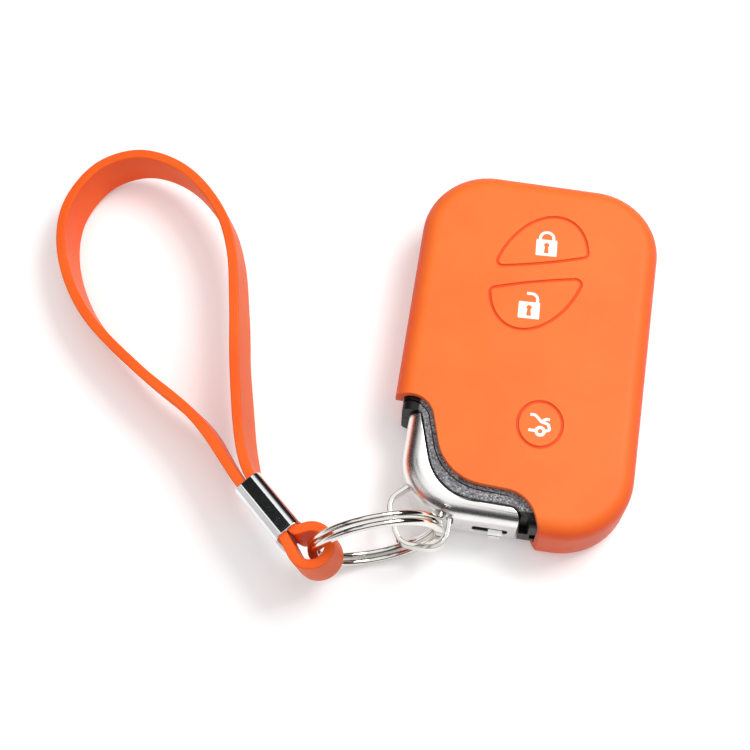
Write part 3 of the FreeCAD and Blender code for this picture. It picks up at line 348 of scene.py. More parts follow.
# Compression-moulded silicone: a saturated rubber with a soft powdery sheen and no sharp highlight, with a
# redder, darker tone painted down its sides as painted shade.
COVER_SILICONE = ShadedSides("moulded_silicone_cover", "#FF7422", "#FF7A28", roughness=0.55, roughness_swing=0.05,
                        grain=0.25, relief=0.006, patch=14.0, ior=1.41, specular=0.5, subsurface=0.3,
                        sheen=0.1)
# The groove floors are the same rubber, thinner, with a redder and darker tone painted on as painted shade
# where little light gets in.
GROOVE_SHADE_SILICONE = Finish("moulded_silicone_groove_shade", "#FF4E12", "#FF5416", roughness=0.6, roughness_swing=0.04,
                         grain=0.25, relief=0.004, patch=14.0, ior=1.41, specular=0.4, subsurface=0.3)
# Extruded silicone strip: a little smoother than the moulded cover.
STRAP_RUBBER = Finish("extruded_silicone_strap", "#FF6216", "#FF6A1C", roughness=0.5, roughness_swing=0.05,
                      grain=0.25, relief=0.005, patch=10.0, ior=1.41, specular=0.4, subsurface=0.3)
# Screen-printed ink: flat white with the faint mottling of a screen.
PRINT_INK = Finish("screen_printed_white_ink", "#FFFFFF", "#F7F5F2", roughness=0.55, roughness_swing=0.08,
                   grain=0.15, relief=0.004, patch=0.6)
# Flake-filled ABS: dark grey with fine bright and black specks. The flakes are drawn at twice their real
# 0.12 mm so that they show at this distance.
# Past its default limits it is painted near black as painted shade at the trim strip's ends.
CASE_ABS = Speckled("flaked_abs_casing", "#6A6C6F", "#8D8F93", roughness=0.42, roughness_swing=0.08,
                    grain=0.2, relief=0.012, specular=0.25, flake=0.24)
# Gloss black ABS of the rear shell, which shows only at the ends of the open corner.
REAR_ABS = Finish("gloss_black_abs", "#0A0A0B", "#0F0F10", roughness=0.22, roughness_swing=0.05, grain=0.4,
                  relief=0.003, specular=0.15)
# Satin black ABS of the button caps: dark, with a soft blurred highlight.
BUTTON_ABS = Finish("satin_black_abs", "#1B1B1D", "#232326", roughness=0.45, roughness_swing=0.08, grain=0.15,
                    relief=0.008)
# Zinc casting with satin silver plating: bright, blurred reflections from a bead-blasted skin.
SATIN_PLATING = Finish("satin_plated_zinc", "#E8E7E5", "#EDECEA", roughness=0.27, roughness_swing=0.04,
                       grain=0.12, relief=0.002, metallic=1.0)
# Milled steel: grey, with fine cutter lines along the blade.
MILLED_STEEL = Finish("milled_steel", "#A9AAAC", "#B9BABC", roughness=0.3, roughness_swing=0.1, grain=0.35,
                      relief=0.004, metallic=1.0, stretch=(1.0, 0.05, 1.0))
# Barrel-polished nickel plate: a warm mirror with very slight ripples.
NICKEL_PLATE = Finish("polished_nickel_plate", "#DCD9D4", "#E4E1DC", roughness=0.08, roughness_swing=0.03,
                      grain=0.8, relief=0.002, metallic=1.0)
# Bright chrome on pressed brass strip: a neutral mirror.
CHROME_PLATE = Finish("bright_chrome_plate", "#E4E5E7", "#EDEEEF", roughness=0.07, roughness_swing=0.02,
                      grain=1.2, relief=0.001, metallic=1.0)
# Zinc inside the head's slot, painted dark and dull as painted shade in the slot.
SLOT_SHADE_ZINC = Finish("zinc_with_painted_slot_shade", "#2E2E30", "#3C3C3F", roughness=0.6, roughness_swing=0.1, grain=0.3,
                   relief=0.01)
# Solder mask over copper tracks: dark green with paler lines.
SOLDER_MASK = Traced("green_solder_mask", "#0C3A1E", "#14512C", roughness=0.32, roughness_swing=0.06,
                     grain=0.4, relief=0.006)
# Black moulded epoxy and nylon of the small parts: dull, with no clear highlight.
BLACK_MOULDING = Finish("black_moulded_epoxy", "#121213", "#1B1B1C", roughness=0.6, roughness_swing=0.1,
                        grain=0.1, relief=0.008)
# Sintered ferrite: dull charcoal with a fine granular skin.
FERRITE_CORE = Finish("sintered_ferrite", "#37383A", "#45464A", roughness=0.55, roughness_swing=0.12,
                      grain=0.12, relief=0.012)
# Tin-plated bronze strip of the springs and contacts: pale gold, with the rolling lines along it.
CONTACT_STRIP = Finish("plated_bronze_strip", "#C7B68F", "#D3C6A4", roughness=0.25, roughness_swing=0.08,
                       grain=0.3, relief=0.003, metallic=1.0, stretch=(0.1, 1.0, 1.0))
# Black felt on the studio's flag, seen only in reflections.
FLAG_FELT = Finish("black_felt", "#232626", "#2B2E2E", roughness=0.95, roughness_swing=0.03, grain=0.5,
                   relief=0.05, specular=0.0)
# White card on the studio's other side, seen only in reflections.
BOUNCE_CARD = Finish("white_card", "#FCFCFC", "#FFFFFF", roughness=0.9, roughness_swing=0.03, grain=0.5,
                     relief=0.02, specular=0.0)
# Nickel-plated steel can of the coin cell: a grey, slightly blurred mirror.
CELL_CAN = Finish("nickel_plated_steel_can", "#BFC0C2", "#CDCED0", roughness=0.22, roughness_swing=0.06,
                  grain=0.4, relief=0.003, metallic=1.0)


# Outlines

def heading(degrees: float) -> Vector:
    """Unit vector in plan at this many degrees from +X."""
    angle = math.radians(degrees)
    return Vector((math.cos(angle), math.sin(angle)))


def left_of(way: Vector) -> Vector:
    """The direction a quarter turn to the left of a unit vector in plan."""
    return Vector((-way.y, way.x))


def turned(way: Vector, angle: float) -> Vector:
    """A plan vector turned left by an angle in radians."""
    cosine, sine = math.cos(angle), math.sin(angle)
    return Vector((way.x * cosine - way.y * sine, way.x * sine + way.y * cosine))


@dataclass
class Path:
    """A line in plan whose corners are rounded: each corner has a place and a radius."""

    corners: list[tuple[Vector, float]]
    closed: bool = True
    step: float = 6.0

    def trace(self) -> list[tuple[Vector, Vector]]:
        """Points along the rounded line, each with its left-hand side vector.

        Returns:
            Places and side vectors; at a sharp corner the side vector is long enough for a mitre.
        """
        found: list[tuple[Vector, Vector]] = []
        count = len(self.corners)
        for number, (corner, radius) in enumerate(self.corners):
            before = self.corners[number - 1][0]
            after = self.corners[(number + 1) % count][0]
            arriving, leaving = (corner - before).normalized(), (after - corner).normalized()
            if not self.closed and number == 0:
                arriving = leaving
            if not self.closed and number == count - 1:
                leaving = arriving
            side, far_side = left_of(arriving), left_of(leaving)
            turn = math.atan2(arriving.x * leaving.y - arriving.y * leaving.x, arriving.dot(leaving))
            if radius <= 0 or abs(turn) < STRAIGHT:
                found.append((corner, (side + far_side) / (1 + side.dot(far_side))))
                continue
            bend = math.copysign(radius, turn)
            centre = corner - arriving * (radius * math.tan(abs(turn) / 2)) + side * bend
            steps = max(2, math.ceil(math.degrees(abs(turn)) / self.step))
            for part in range(steps + 1):
                way = turned(side, turn * part / steps)
                found.append((centre - way * bend, way))
        clean = [found[0]]
        for place, side in found[1:]:
            if (place - clean[-1][0]).length > SAME_PLACE:
                clean.append((place, side))
        if self.closed and (clean[0][0] - clean[-1][0]).length <= SAME_PLACE:
            clean.pop()
        return clean

    def points(self, shift: float = 0.0) -> list[Vector]:
        """Points along the line, moved to its left by the shift."""
        return [place + side * shift for place, side in self.trace()]

    def ribbon(self, thickness: float) -> list[Vector]:
        """Outline of a strip of even thickness along an open line."""
        return self.points(-thickness / 2) + self.points(thickness / 2)[::-1]


def rounded_plate(half_width: float, half_length: float, corner: float, step: float = 6.0) -> list[Vector]:
    """Outline of a rounded rectangle about the origin.

    Args:
        half_width: Half its size in X.
        half_length: Half its size in Y.
        corner: Radius of its corners.
        step: Degrees between points on the corners.

    Returns:
        Its points, counter-clockwise.
    """
    signs = ((1, 1), (-1, 1), (-1, -1), (1, -1))
    return Path([(Vector((x * half_width, y * half_length)), corner) for x, y in signs], step=step).points()


def box_outline(low_x: float, high_x: float, low_y: float, high_y: float,
                corner: float = 0.0) -> list[Vector]:
    """Outline of a rectangle between limits, with equal corners."""
    middle = Vector(((low_x + high_x) / 2, (low_y + high_y) / 2))
    half_width, half_length = (high_x - low_x) / 2, (high_y - low_y) / 2
    return [middle + point for point in rounded_plate(half_width, half_length, corner, SMALL_CORNER_STEP)]


def oval_outline(centre: Vector, half_x: float, half_y: float, count: int = 72) -> list[Vector]:
    """Outline of an upright oval."""
    turns = [FULL_TURN * number / count for number in range(count)]
    return [centre + Vector((half_x * math.cos(turn), half_y * math.sin(turn))) for turn in turns]


def eased(share: float) -> float:
    """A share from 0 to 1 that sets off and arrives gently."""
    return share * share * (3 - 2 * share)


def smooth_line(points: Sequence[Vector], count: int = 10) -> list[Vector]:
    """A smooth line through points in plan.

    Args:
        points: Places in order. The first and last only set the line's direction at its ends.
        count: Points on each stretch.

    Returns:
        Points from the second place to the last but one.
    """
    slopes = [(after - before) / ((after - here).length + (here - before).length)
              for before, here, after in zip(points, points[1:], points[2:])]
    knots = list(zip(points[1:], slopes))
    line = [points[1]]
    for (start, leaving), (end, arriving) in zip(knots, knots[1:]):
        third = (end - start).length / 3
        line += interpolate_bezier(start, start + leaving * third, end - arriving * third, end, count + 1)[1:]
    return line


# Modelling steps

def clear_selection() -> None:
    """Goes to object mode with nothing selected."""
    if bpy.context.mode != "OBJECT":
        bpy.ops.object.mode_set(mode="OBJECT")
    bpy.ops.object.select_all(action="DESELECT")


def choose(piece: bpy.types.Object) -> None:
    """Makes one object the selected and active one."""
    clear_selection()
    piece.select_set(True)
    bpy.context.view_layer.objects.active = piece


def draw_up(piece: bpy.types.Object, height: float) -> None:
    """Extrudes a flat piece upward and turns its faces outward.

    Args:
        piece: A flat mesh.
        height: How far to draw it, in millimetres.
    """
    choose(piece)
    bpy.ops.object.mode_set(mode="EDIT")
    bpy.ops.mesh.select_all(action="SELECT")
    bpy.ops.mesh.extrude_region_move(TRANSFORM_OT_translate={"value": (0, 0, height * MM)})
    bpy.ops.mesh.select_all(action="SELECT")
    bpy.ops.mesh.normals_make_consistent(inside=False)
    bpy.ops.object.mode_set(mode="OBJECT")


def plate(name: str, outline: Sequence[Vector], bottom: float, top: float) -> bpy.types.Object:
    """A closed outline as a solid between two heights.

    Args:
        name: Name of the new object.
        outline: Points in plan, in millimetres.
        bottom: Height of its lower face.
        top: Height of its upper face.

    Returns:
        The new object.
    """
    clear_selection()
    bpy.ops.mesh.primitive_circle_add(vertices=len(outline), radius=MM, fill_type="NGON")
    piece = bpy.context.object
    piece.name = name
    for vertex, point in zip(piece.data.vertices, outline):
        vertex.co = Vector((point.x, point.y, bottom)) * MM
    draw_up(piece, top - bottom)
    return piece


def band(name: str, outer: Sequence[Vector], inner: Sequence[Vector], bottom: float,
         top: float) -> bpy.types.Object:
    """A closed strip between two outlines of as many points, as a solid between two heights.

    Args:
        name: Name of the new object.
        outer: Points of the outer outline.
        inner: The matching points of the inner one.
        bottom: Height of its lower face.
        top: Height of its upper face.

    Returns:
        The new object.
    """
    clear_selection()
    bpy.ops.mesh.primitive_circle_add(vertices=len(outer), radius=MM, fill_type="NOTHING")
    piece = bpy.context.object
    piece.name = name
    for number, vertex in enumerate(piece.data.vertices):
        vertex.co = Vector((number, 0, 0))
    bpy.ops.object.mode_set(mode="EDIT")
    bpy.ops.mesh.select_all(action="SELECT")
    bpy.ops.mesh.extrude_region_move(TRANSFORM_OT_translate={"value": (0, 1, 0)})
    bpy.ops.object.mode_set(mode="OBJECT")
    for vertex in piece.data.vertices:
        line = inner if vertex.co.y > 0.5 else outer
        point = line[round(vertex.co.x)]
        vertex.co = Vector((point.x, point.y, bottom)) * MM
    draw_up(piece, top - bottom)
    return piece


def side_plate(name: str, outline: Sequence[Vector], start: float, end: float) -> bpy.types.Object:
    """An outline in X and Z as a solid between two places along Y.

    Args:
        name: Name of the new object.
        outline: Points as X and Z, in millimetres.
        start: Lower limit in Y.
        end: Upper limit in Y.

    Returns:
        The new object.
    """
    piece = plate(name, outline, -end, -start)
    settle(piece, Matrix.Rotation(QUARTER_TURN, 4, "X"))
    return piece


def settle(piece: bpy.types.Object, place: Matrix) -> None:
    """Puts a piece in its place and moves that place into its mesh."""
    choose(piece)
    piece.matrix_world = place
    bpy.ops.object.transform_apply(location=True, rotation=True, scale=True)


def apply_modifier(piece: bpy.types.Object, kind: str, **settings: object) -> None:
    """Adds one modifier with its settings and applies it.

    Args:
        piece: Object to change.
        kind: Blender's modifier type.
        settings: Properties of the modifier.
    """
    choose(piece)
    bpy.ops.object.modifier_add(type=kind)
    modifier = piece.modifiers[-1]
    for name, value in settings.items():
        setattr(modifier, name, value)
    bpy.ops.object.modifier_apply(modifier=modifier.name)


def combine(piece: bpy.types.Object, tool: bpy.types.Object, way: Way) -> None:
    """Joins, cuts or trims a piece by a tool, which is used up.

    Args:
        piece: Object that stays.
        tool: Object that is removed.
        way: What is kept.
    """
    apply_modifier(piece, "BOOLEAN", operation=way.value, solver="EXACT", object=tool)
    bpy.data.objects.remove(tool)
    bpy.ops.object.mode_set(mode="EDIT")
    bpy.ops.mesh.select_all(action="SELECT")
    bpy.ops.mesh.remove_doubles(threshold=CUT_MERGE * MM)
    bpy.ops.object.mode_set(mode="OBJECT")


def soften(piece: bpy.types.Object, width: float, segments: int = 3, angle: float = 50.0) -> None:
    """Rounds every edge that turns by more than an angle.

    Args:
        piece: Object to change.
        width: Width of the rounding, in millimetres.
        segments: Faces across it.
        angle: Least turn in degrees.
    """
    apply_modifier(piece, "BEVEL", width=width * MM, segments=segments, limit_method="ANGLE",
                   angle_limit=math.radians(angle), use_clamp_overlap=False)


def round_rim(piece: bpy.types.Object, height: float, radius: float, segments: int) -> None:
    """Rounds the edges that lie level at one height.

    Args:
        piece: Object to change.
        height: Height of the edges, in millimetres.
        radius: Radius of the rounding.
        segments: Faces across it.
    """
    choose(piece)
    bpy.ops.object.mode_set(mode="EDIT")
    bpy.ops.mesh.select_mode(type="EDGE")
    bpy.ops.mesh.select_all(action="DESELECT")
    bpy.ops.object.mode_set(mode="OBJECT")
    vertices = piece.data.vertices
    for edge in piece.data.edges:
        edge.select = all(abs(vertices[end].co.z - height * MM) < SAME_PLACE * MM for end in edge.vertices)
    bpy.ops.object.mode_set(mode="EDIT")
    bpy.ops.mesh.bevel(offset=radius * MM, segments=segments, affect="EDGES", clamp_overlap=False)
    bpy.ops.object.mode_set(mode="OBJECT")


def smooth(piece: bpy.types.Object, angle: float = 35.0) -> None:
    """Shades a piece smooth over gentle turns, with flat faces kept flat."""
    choose(piece)
    bpy.ops.object.shade_smooth_by_angle(angle=math.radians(angle))
    apply_modifier(piece, "WEIGHTED_NORMAL", keep_sharp=True)


def finish_piece(piece: bpy.types.Object, finish: Finish, body: Body, slot: Slot, *stands_for: str) -> None:
    """Dresses a piece and hands it to its body.

    Args:
        piece: Finished mesh, in place.
        finish: Its surface.
        body: Body that it rides on.
        slot: Material slot of the imported record; not used.
        stands_for: CAD nodes that it replaces.
    """
    piece.data.name = piece.name
    piece.data.materials.clear()
    piece.data.materials.append(finish.material())
    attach(piece, body.value)
    if stands_for:
        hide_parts(*stands_for)
    log.info("%s: %d faces, rides %s", piece.name, len(piece.data.polygons), body.value)


def paint(piece: bpy.types.Object, finish: Finish, inside: Callable[[Vector], bool]) -> None:
    """Gives a second finish to the faces whose middle lies inside a region.

    Args:
        piece: Finished mesh with its main finish.
        finish: The second finish.
        inside: Says whether a place, in millimetres, is in the region.
    """
    piece.data.materials.append(finish.material())
    for face in piece.data.polygons:
        if inside(face.center / MM):
            face.material_index = len(piece.data.materials) - 1


# Sub-assemblies

# Sizes of the sleeve that other pieces follow
SLEEVE_HALF_WIDTH = 22.95
SLEEVE_HALF_LENGTH = 35.9
SLEEVE_HEIGHT = 14.5
SLEEVE_WALL = 1.5
SLEEVE_FIT = 0.1
# Corner in plan that the open corner, the casing and the key's head follow, rounder than the sleeve's own
PLAN_CORNER = 14.0
# How far the casing stands in from the sleeve's outside, and the key head's sides and end from the casing's
CASING_INSET = SLEEVE_WALL + SLEEVE_FIT
HEAD_INSET = 1.5
HEAD_END_INSET = 0.1


@dataclass
class LensHalf:
    """One half of the tilted oval that holds the lock and unlock pads, split off by a slightly bowed edge."""

    side: int
    centre: Vector = field(default_factory=lambda: Vector((0.5, 15.5)))
    length: float = 26.1
    width: float = 17.2
    tilt: float = 70.0
    gap: float = 3.3
    gap_tilt: float = 14.2
    bow: float = 110.0
    corner: float = 1.3
    search_steps: int = 60
    oval_points: int = 60
    corner_points: int = 8
    bow_points: int = 20

    def outline(self, grow: float) -> list[Vector]:
        """Outline of the half, grown all round.

        Args:
            grow: Distance outward, in millimetres.

        Returns:
            Its points, as many for every growth.
        """
        half_long, half_wide = self.length / 2 + grow, self.width / 2 + grow
        radius = self.corner + grow
        along, across = heading(self.tilt), heading(self.tilt + 90)
        inward = heading(self.gap_tilt + 90) * self.side
        bow_centre = self.centre + inward * (self.gap / 2 + self.bow)
        bow_radius = self.bow + grow

        def on_oval(turn: float) -> tuple[Vector, Vector]:
            """Place on the oval and its outward direction there."""
            place = self.centre + along * (half_long * math.cos(turn)) + across * (half_wide * math.sin(turn))
            out = along * (half_wide * math.cos(turn)) + across * (half_long * math.sin(turn))
            return place, out.normalized()

        def clear_of_bow(turn: float) -> float:
            """Room that a corner there leaves before the bowed edge."""
            place, out = on_oval(turn)
            return bow_radius - radius - (place - out * radius - bow_centre).length

        middle = math.atan2(inward.dot(across), inward.dot(along))
        ends = []
        for sign in (-1, 1):
            near, far = 0.0, math.pi
            for _ in range(self.search_steps):
                mid = (near + far) / 2
                if clear_of_bow(middle + sign * mid) > 0:
                    near = mid
                else:
                    far = mid
            ends.append(middle + sign * near)
        first, last = ends
        step = (last - first) / self.oval_points
        points = [on_oval(first + step * number)[0] for number in range(self.oval_points + 1)]
        corners = []
        for turn in (last, first):
            place, out = on_oval(turn)
            hub = place - out * radius
            corners.append((hub, out, (hub - bow_centre).normalized()))
        hub, out, bow_out = corners[0]
        points += self.sweep(hub, radius, out, bow_out, self.corner_points)[1:]
        points += self.sweep(bow_centre, bow_radius, bow_out, corners[1][2], self.bow_points)[1:]
        hub, out, bow_out = corners[1]
        points += self.sweep(hub, radius, bow_out, out, self.corner_points)[1:-1]
        return points

    @staticmethod
    def sweep(hub: Vector, radius: float, start: Vector, end: Vector, count: int) -> list[Vector]:
        """Points of an arc to the left between two directions from its hub."""
        angle = math.atan2(start.x * end.y - start.y * end.x, start.dot(end))
        return [hub + turned(start, angle * number / count) * radius for number in range(count + 1)]


@dataclass
class BootOval:
    """The boot pad's oval."""

    centre: Vector = field(default_factory=lambda: Vector((4.3, -15.3)))
    length: float = 9.5
    width: float = 8.8

    def outline(self, grow: float) -> list[Vector]:
        """Outline of the oval, grown all round."""
        return oval_outline(self.centre, self.width / 2 + grow, self.length / 2 + grow)


@dataclass
class OpenCorner:
    """A curve across the fob's lower left corner.

    Its shares are of the half width, of the half length and, for each rounding, of the corner.
    """

    shares: Corners
    half_width: float = SLEEVE_HALF_WIDTH
    half_length: float = SLEEVE_HALF_LENGTH
    corner: float = PLAN_CORNER
    step: float = 4.0

    def beyond(self, outward: float) -> list[Vector]:
        """Outline of all that lies beyond the curve, moved outward toward the open corner."""
        line = Path([(Vector((x * self.half_width, y * self.half_length)), bend * self.corner)
                     for x, y, bend in self.shares], closed=False, step=self.step).points(-outward)
        return line + [Vector((line[0].x, line[-1].y))]


SLEEVE_EDGE = OpenCorner([(-1.30, -0.3593, 0.0), (-0.7105, -0.3593, 0.3436), (-0.5098, -0.7802, 0.6964),
                          (0.1661, -0.8000, 0.4504), (0.5300, -1.3125, 0.0)])
HEAD_EDGE = OpenCorner([(-1.30, -0.4374, 0.0), (-0.7751, -0.4374, 0.0371), (-0.5663, -0.8646, 0.7150),
                        (0.1267, -0.8719, 0.1579), (0.1398, -1.3125, 0.0)])
BUTTONS = {Body.LOCK: LensHalf(1), Body.UNLOCK: LensHalf(-1), Body.BOOT: BootOval()}


@dataclass
class Cover:
    """Moulded silicone sleeve with its three pads and the grooves round them."""

    half_width: float = SLEEVE_HALF_WIDTH
    half_length: float = SLEEVE_HALF_LENGTH
    height: float = SLEEVE_HEIGHT
    corner: float = 13.0
    side_height: float = 9.5
    side_reach: float = 4.0
    edge_round: float = 3.5
    edge_faces: int = 10
    wall: float = SLEEVE_WALL
    fit: float = SLEEVE_FIT
    inner_round: float = 2.0
    inner_faces: int = 6
    lip_soft: float = 0.15
    lip_faces: int = 2
    window_bottom: float = 11.7
    groove: float = 0.5
    groove_depth: float = 0.32
    web: float = 0.5
    web_gap: float = 0.02
    pad_bottom: float = 13.4
    pad_round: float = 0.16
    overrun: float = 1.0

    def build(self) -> None:
        """Builds the sleeve, then each pad with its groove."""
        self.build_sleeve()
        for body, oval in BUTTONS.items():
            self.build_pad(body, oval)

    def build_sleeve(self) -> None:
        """The hollow sleeve, cut open at the key's corner and over each pad."""
        outline = rounded_plate(self.half_width, self.half_length, self.corner)
        skin = plate("cover_sleeve", outline, 0, self.height)
        for rim in (0, self.height):
            round_rim(skin, rim, self.edge_round, self.edge_faces)
        outline = rounded_plate(self.half_width - self.wall, self.half_length - self.wall,
                                self.corner - self.wall)
        space = plate("cover_space", outline, self.wall, self.height - self.wall)
        for rim in (self.wall, self.height - self.wall):
            round_rim(space, rim, self.inner_round, self.inner_faces)
        combine(skin, space, Way.LESS)
        above = self.height + self.overrun
        combine(skin, plate("corner_tool", SLEEVE_EDGE.beyond(0), -self.overrun, above), Way.LESS)
        edge = SLEEVE_EDGE.beyond(0)[0].y
        side = box_outline(-self.half_width - self.overrun, self.wall + self.fit - self.half_width,
                           edge - self.overrun, edge + self.side_reach)
        combine(skin, plate("side_tool", side, -self.overrun, self.side_height), Way.LESS)
        for oval in BUTTONS.values():
            combine(skin, plate("window_tool", oval.outline(0), self.window_bottom, above), Way.LESS)
        soften(skin, self.lip_soft, self.lip_faces)
        smooth(skin)
        finish_piece(skin, COVER_SILICONE, Body.FOB, Slot.SILICONE, "cover_skin")

    def build_pad(self, body: Body, oval: LensHalf | BootOval) -> None:
        """One pad and the thin web of rubber that floors its groove.

        Args:
            body: Body that the pad rides on.
            oval: Shape of the pad's window.
        """
        name = body.value + "_pad"
        pad = plate(name + "_skin", oval.outline(-self.groove), self.pad_bottom, self.height)
        soften(pad, self.pad_round)
        smooth(pad)
        finish_piece(pad, COVER_SILICONE, body, Slot.SILICONE, name)
        top = self.height - self.groove_depth
        outer, inner = oval.outline(-self.web_gap), oval.outline(self.web_gap - self.groove)
        web = band(body.value + "_groove", outer, inner, top - self.web, top)
        smooth(web)
        # The groove's floor takes the painted groove shade.
        finish_piece(web, GROOVE_SHADE_SILICONE, Body.FOB, Slot.SILICONE)


@dataclass
class Signs:
    """Signs printed on the pads: a closed padlock, an open one and a raised boot lid.

    Each sign is drawn about its own middle.
    """

    face: float = SLEEVE_HEIGHT
    ink: float = 0.05
    overrun: float = 1.0
    crease: float = 25.0
    lock_line: float = 0.58
    lock_half: tuple[float, float] = (2.03, 1.74)
    lock_corner: float = 0.2
    keyhole_middle: tuple[float, float] = (0.0, 0.6)
    keyhole_half: tuple[float, float] = (0.5, 0.46)
    keyhole_points: int = 28
    stem: Sequence[tuple[float, float]] = ((-0.27, 0.5), (-0.46, -1.15), (0.46, -1.15), (0.27, 0.5))
    closed_shackle: Corners = ((-1.3, 1.5, 0), (-1.3, 3.3, 1.28), (1.3, 3.3, 1.28), (1.3, 1.5, 0))
    open_shackle: Corners = ((1.5, 1.5, 0), (1.5, 3.5, 1.25), (-0.62, 3.5, 0))
    boot_line: float = 0.56
    boot_lid: Corners = ((-1.95, 1.64, 0), (-1.0, 1.68, 0.7), (0.2, 0.5, 0.6), (1.55, 0.2, 0.6),
                         (1.95, -0.9, 0.3), (0.9, -1.32, 0))
    boot_hinge: Corners = ((0.25, 0.5, 0), (0.95, 1.08, 0.4), (1.75, 1.17, 0))
    boot_sill: Corners = ((-0.6, -1.36, 0), (-1.95, -1.42, 0))
    wheel_middle: tuple[float, float] = (0.21, -1.39)
    wheel_outer: float = 1.05
    wheel_inner: float = 0.43
    wheel_points: int = 40
    lock_place: tuple[float, float] = (1.28, 20.9)
    lock_tilt: float = 3.0
    unlock_place: tuple[float, float] = (-0.48, 7.27)
    unlock_tilt: float = 2.5

    def __post_init__(self) -> None:
        """Works out the top of the ink."""
        self.top = self.face + self.ink

    def build(self) -> None:
        """Draws and prints the three signs."""
        self.print_sign("lock_sign", Body.LOCK, self.padlock(self.closed_shackle), self.lock_place,
                        self.lock_tilt)
        self.print_sign("unlock_sign", Body.UNLOCK, self.padlock(self.open_shackle), self.unlock_place,
                        self.unlock_tilt)
        lid, hinge, sill = (self.stroke(line, self.boot_line)
                            for line in (self.boot_lid, self.boot_hinge, self.boot_sill))
        outer, inner = (oval_outline(Vector(self.wheel_middle), radius, radius, self.wheel_points)
                        for radius in (self.wheel_outer, self.wheel_inner))
        wheel = band("wheel", outer, inner, self.face, self.top)
        self.print_sign("boot_sign", Body.BOOT, [lid, hinge, wheel, sill], BUTTONS[Body.BOOT].centre)

    def stroke(self, corners: Corners, width: float) -> bpy.types.Object:
        """One printed line of even width.

        Args:
            corners: Corners of the line.
            width: Width of the line.

        Returns:
            The line as a thin plate.
        """
        line = Path([(Vector((x, y)), bend) for x, y, bend in corners], closed=False, step=SMALL_CORNER_STEP)
        return plate("stroke", line.ribbon(width), self.face, self.top)

    def padlock(self, shackle: Corners) -> list[bpy.types.Object]:
        """A padlock's body with its keyhole, and its shackle.

        Args:
            shackle: Corners of the shackle's line.

        Returns:
            The strokes to join.
        """
        half_width, half_height = self.lock_half
        outline = box_outline(-half_width, half_width, -half_height, half_height, self.lock_corner)
        case = plate("padlock", outline, self.face, self.top)
        hole = oval_outline(Vector(self.keyhole_middle), *self.keyhole_half, self.keyhole_points)
        for name, cut in (("keyhole", hole), ("stem", [Vector(point) for point in self.stem])):
            combine(case, plate(name, cut, self.face - self.overrun, self.top + self.overrun), Way.LESS)
        return [case, self.stroke(shackle, self.lock_line)]

    def print_sign(self, name: str, body: Body, strokes: Sequence[bpy.types.Object],
                   middle: Sequence[float], tilt: float = 0.0) -> None:
        """Joins a sign's strokes and prints it on its pad.

        Args:
            name: Name of the sign.
            body: Body that it rides on.
            strokes: Thin plates about the origin.
            middle: Where the sign's middle goes.
            tilt: Its turn to the left, in degrees.
        """
        sign = strokes[0]
        for stroke in strokes[1:]:
            combine(sign, stroke, Way.JOINED)
        sign.name = name
        settle(sign, Matrix.Translation((*(Vector(middle) * MM), 0))
               @ Matrix.Rotation(math.radians(tilt), 4, "Z"))
        smooth(sign, self.crease)
        finish_piece(sign, PRINT_INK, body, Slot.SILICONE)


@dataclass
class Casing:
    """The fob's speckled trim strip between the front shell and the key's head."""

    half_width: float = SLEEVE_HALF_WIDTH - CASING_INSET
    half_length: float = SLEEVE_HALF_LENGTH - CASING_INSET
    corner: float = PLAN_CORNER - CASING_INSET
    bottom: float = 7.0
    top: float = 12.75
    edge_round: float = 1.9
    edge_faces: int = 6
    inner_gap: float = 0.8
    head_gap: float = 0.3
    tail_end: float = -32.9
    soft: float = 0.12
    soft_faces: int = 2
    overrun: float = 2.0

    def build(self) -> None:
        """Builds the trim strip."""
        strip = plate("corner_trim", rounded_plate(self.half_width, self.half_length, self.corner),
                      self.bottom, self.top)
        round_rim(strip, self.top, self.edge_round, self.edge_faces)
        low, high = self.bottom - self.overrun, self.top + self.overrun
        combine(strip, plate("inner_tool", SLEEVE_EDGE.beyond(self.inner_gap), low, high), Way.SHARED)
        combine(strip, plate("head_tool", HEAD_EDGE.beyond(-self.head_gap), low, high), Way.LESS)
        reach = 2 * self.half_length
        tail = box_outline(-reach, reach, -reach, self.tail_end)
        combine(strip, plate("tail_tool", tail, low, high), Way.LESS)
        soften(strip, self.soft, self.soft_faces)
        smooth(strip)
        finish_piece(strip, CASE_ABS, Body.FOB, Slot.CASING, "trim_strip")


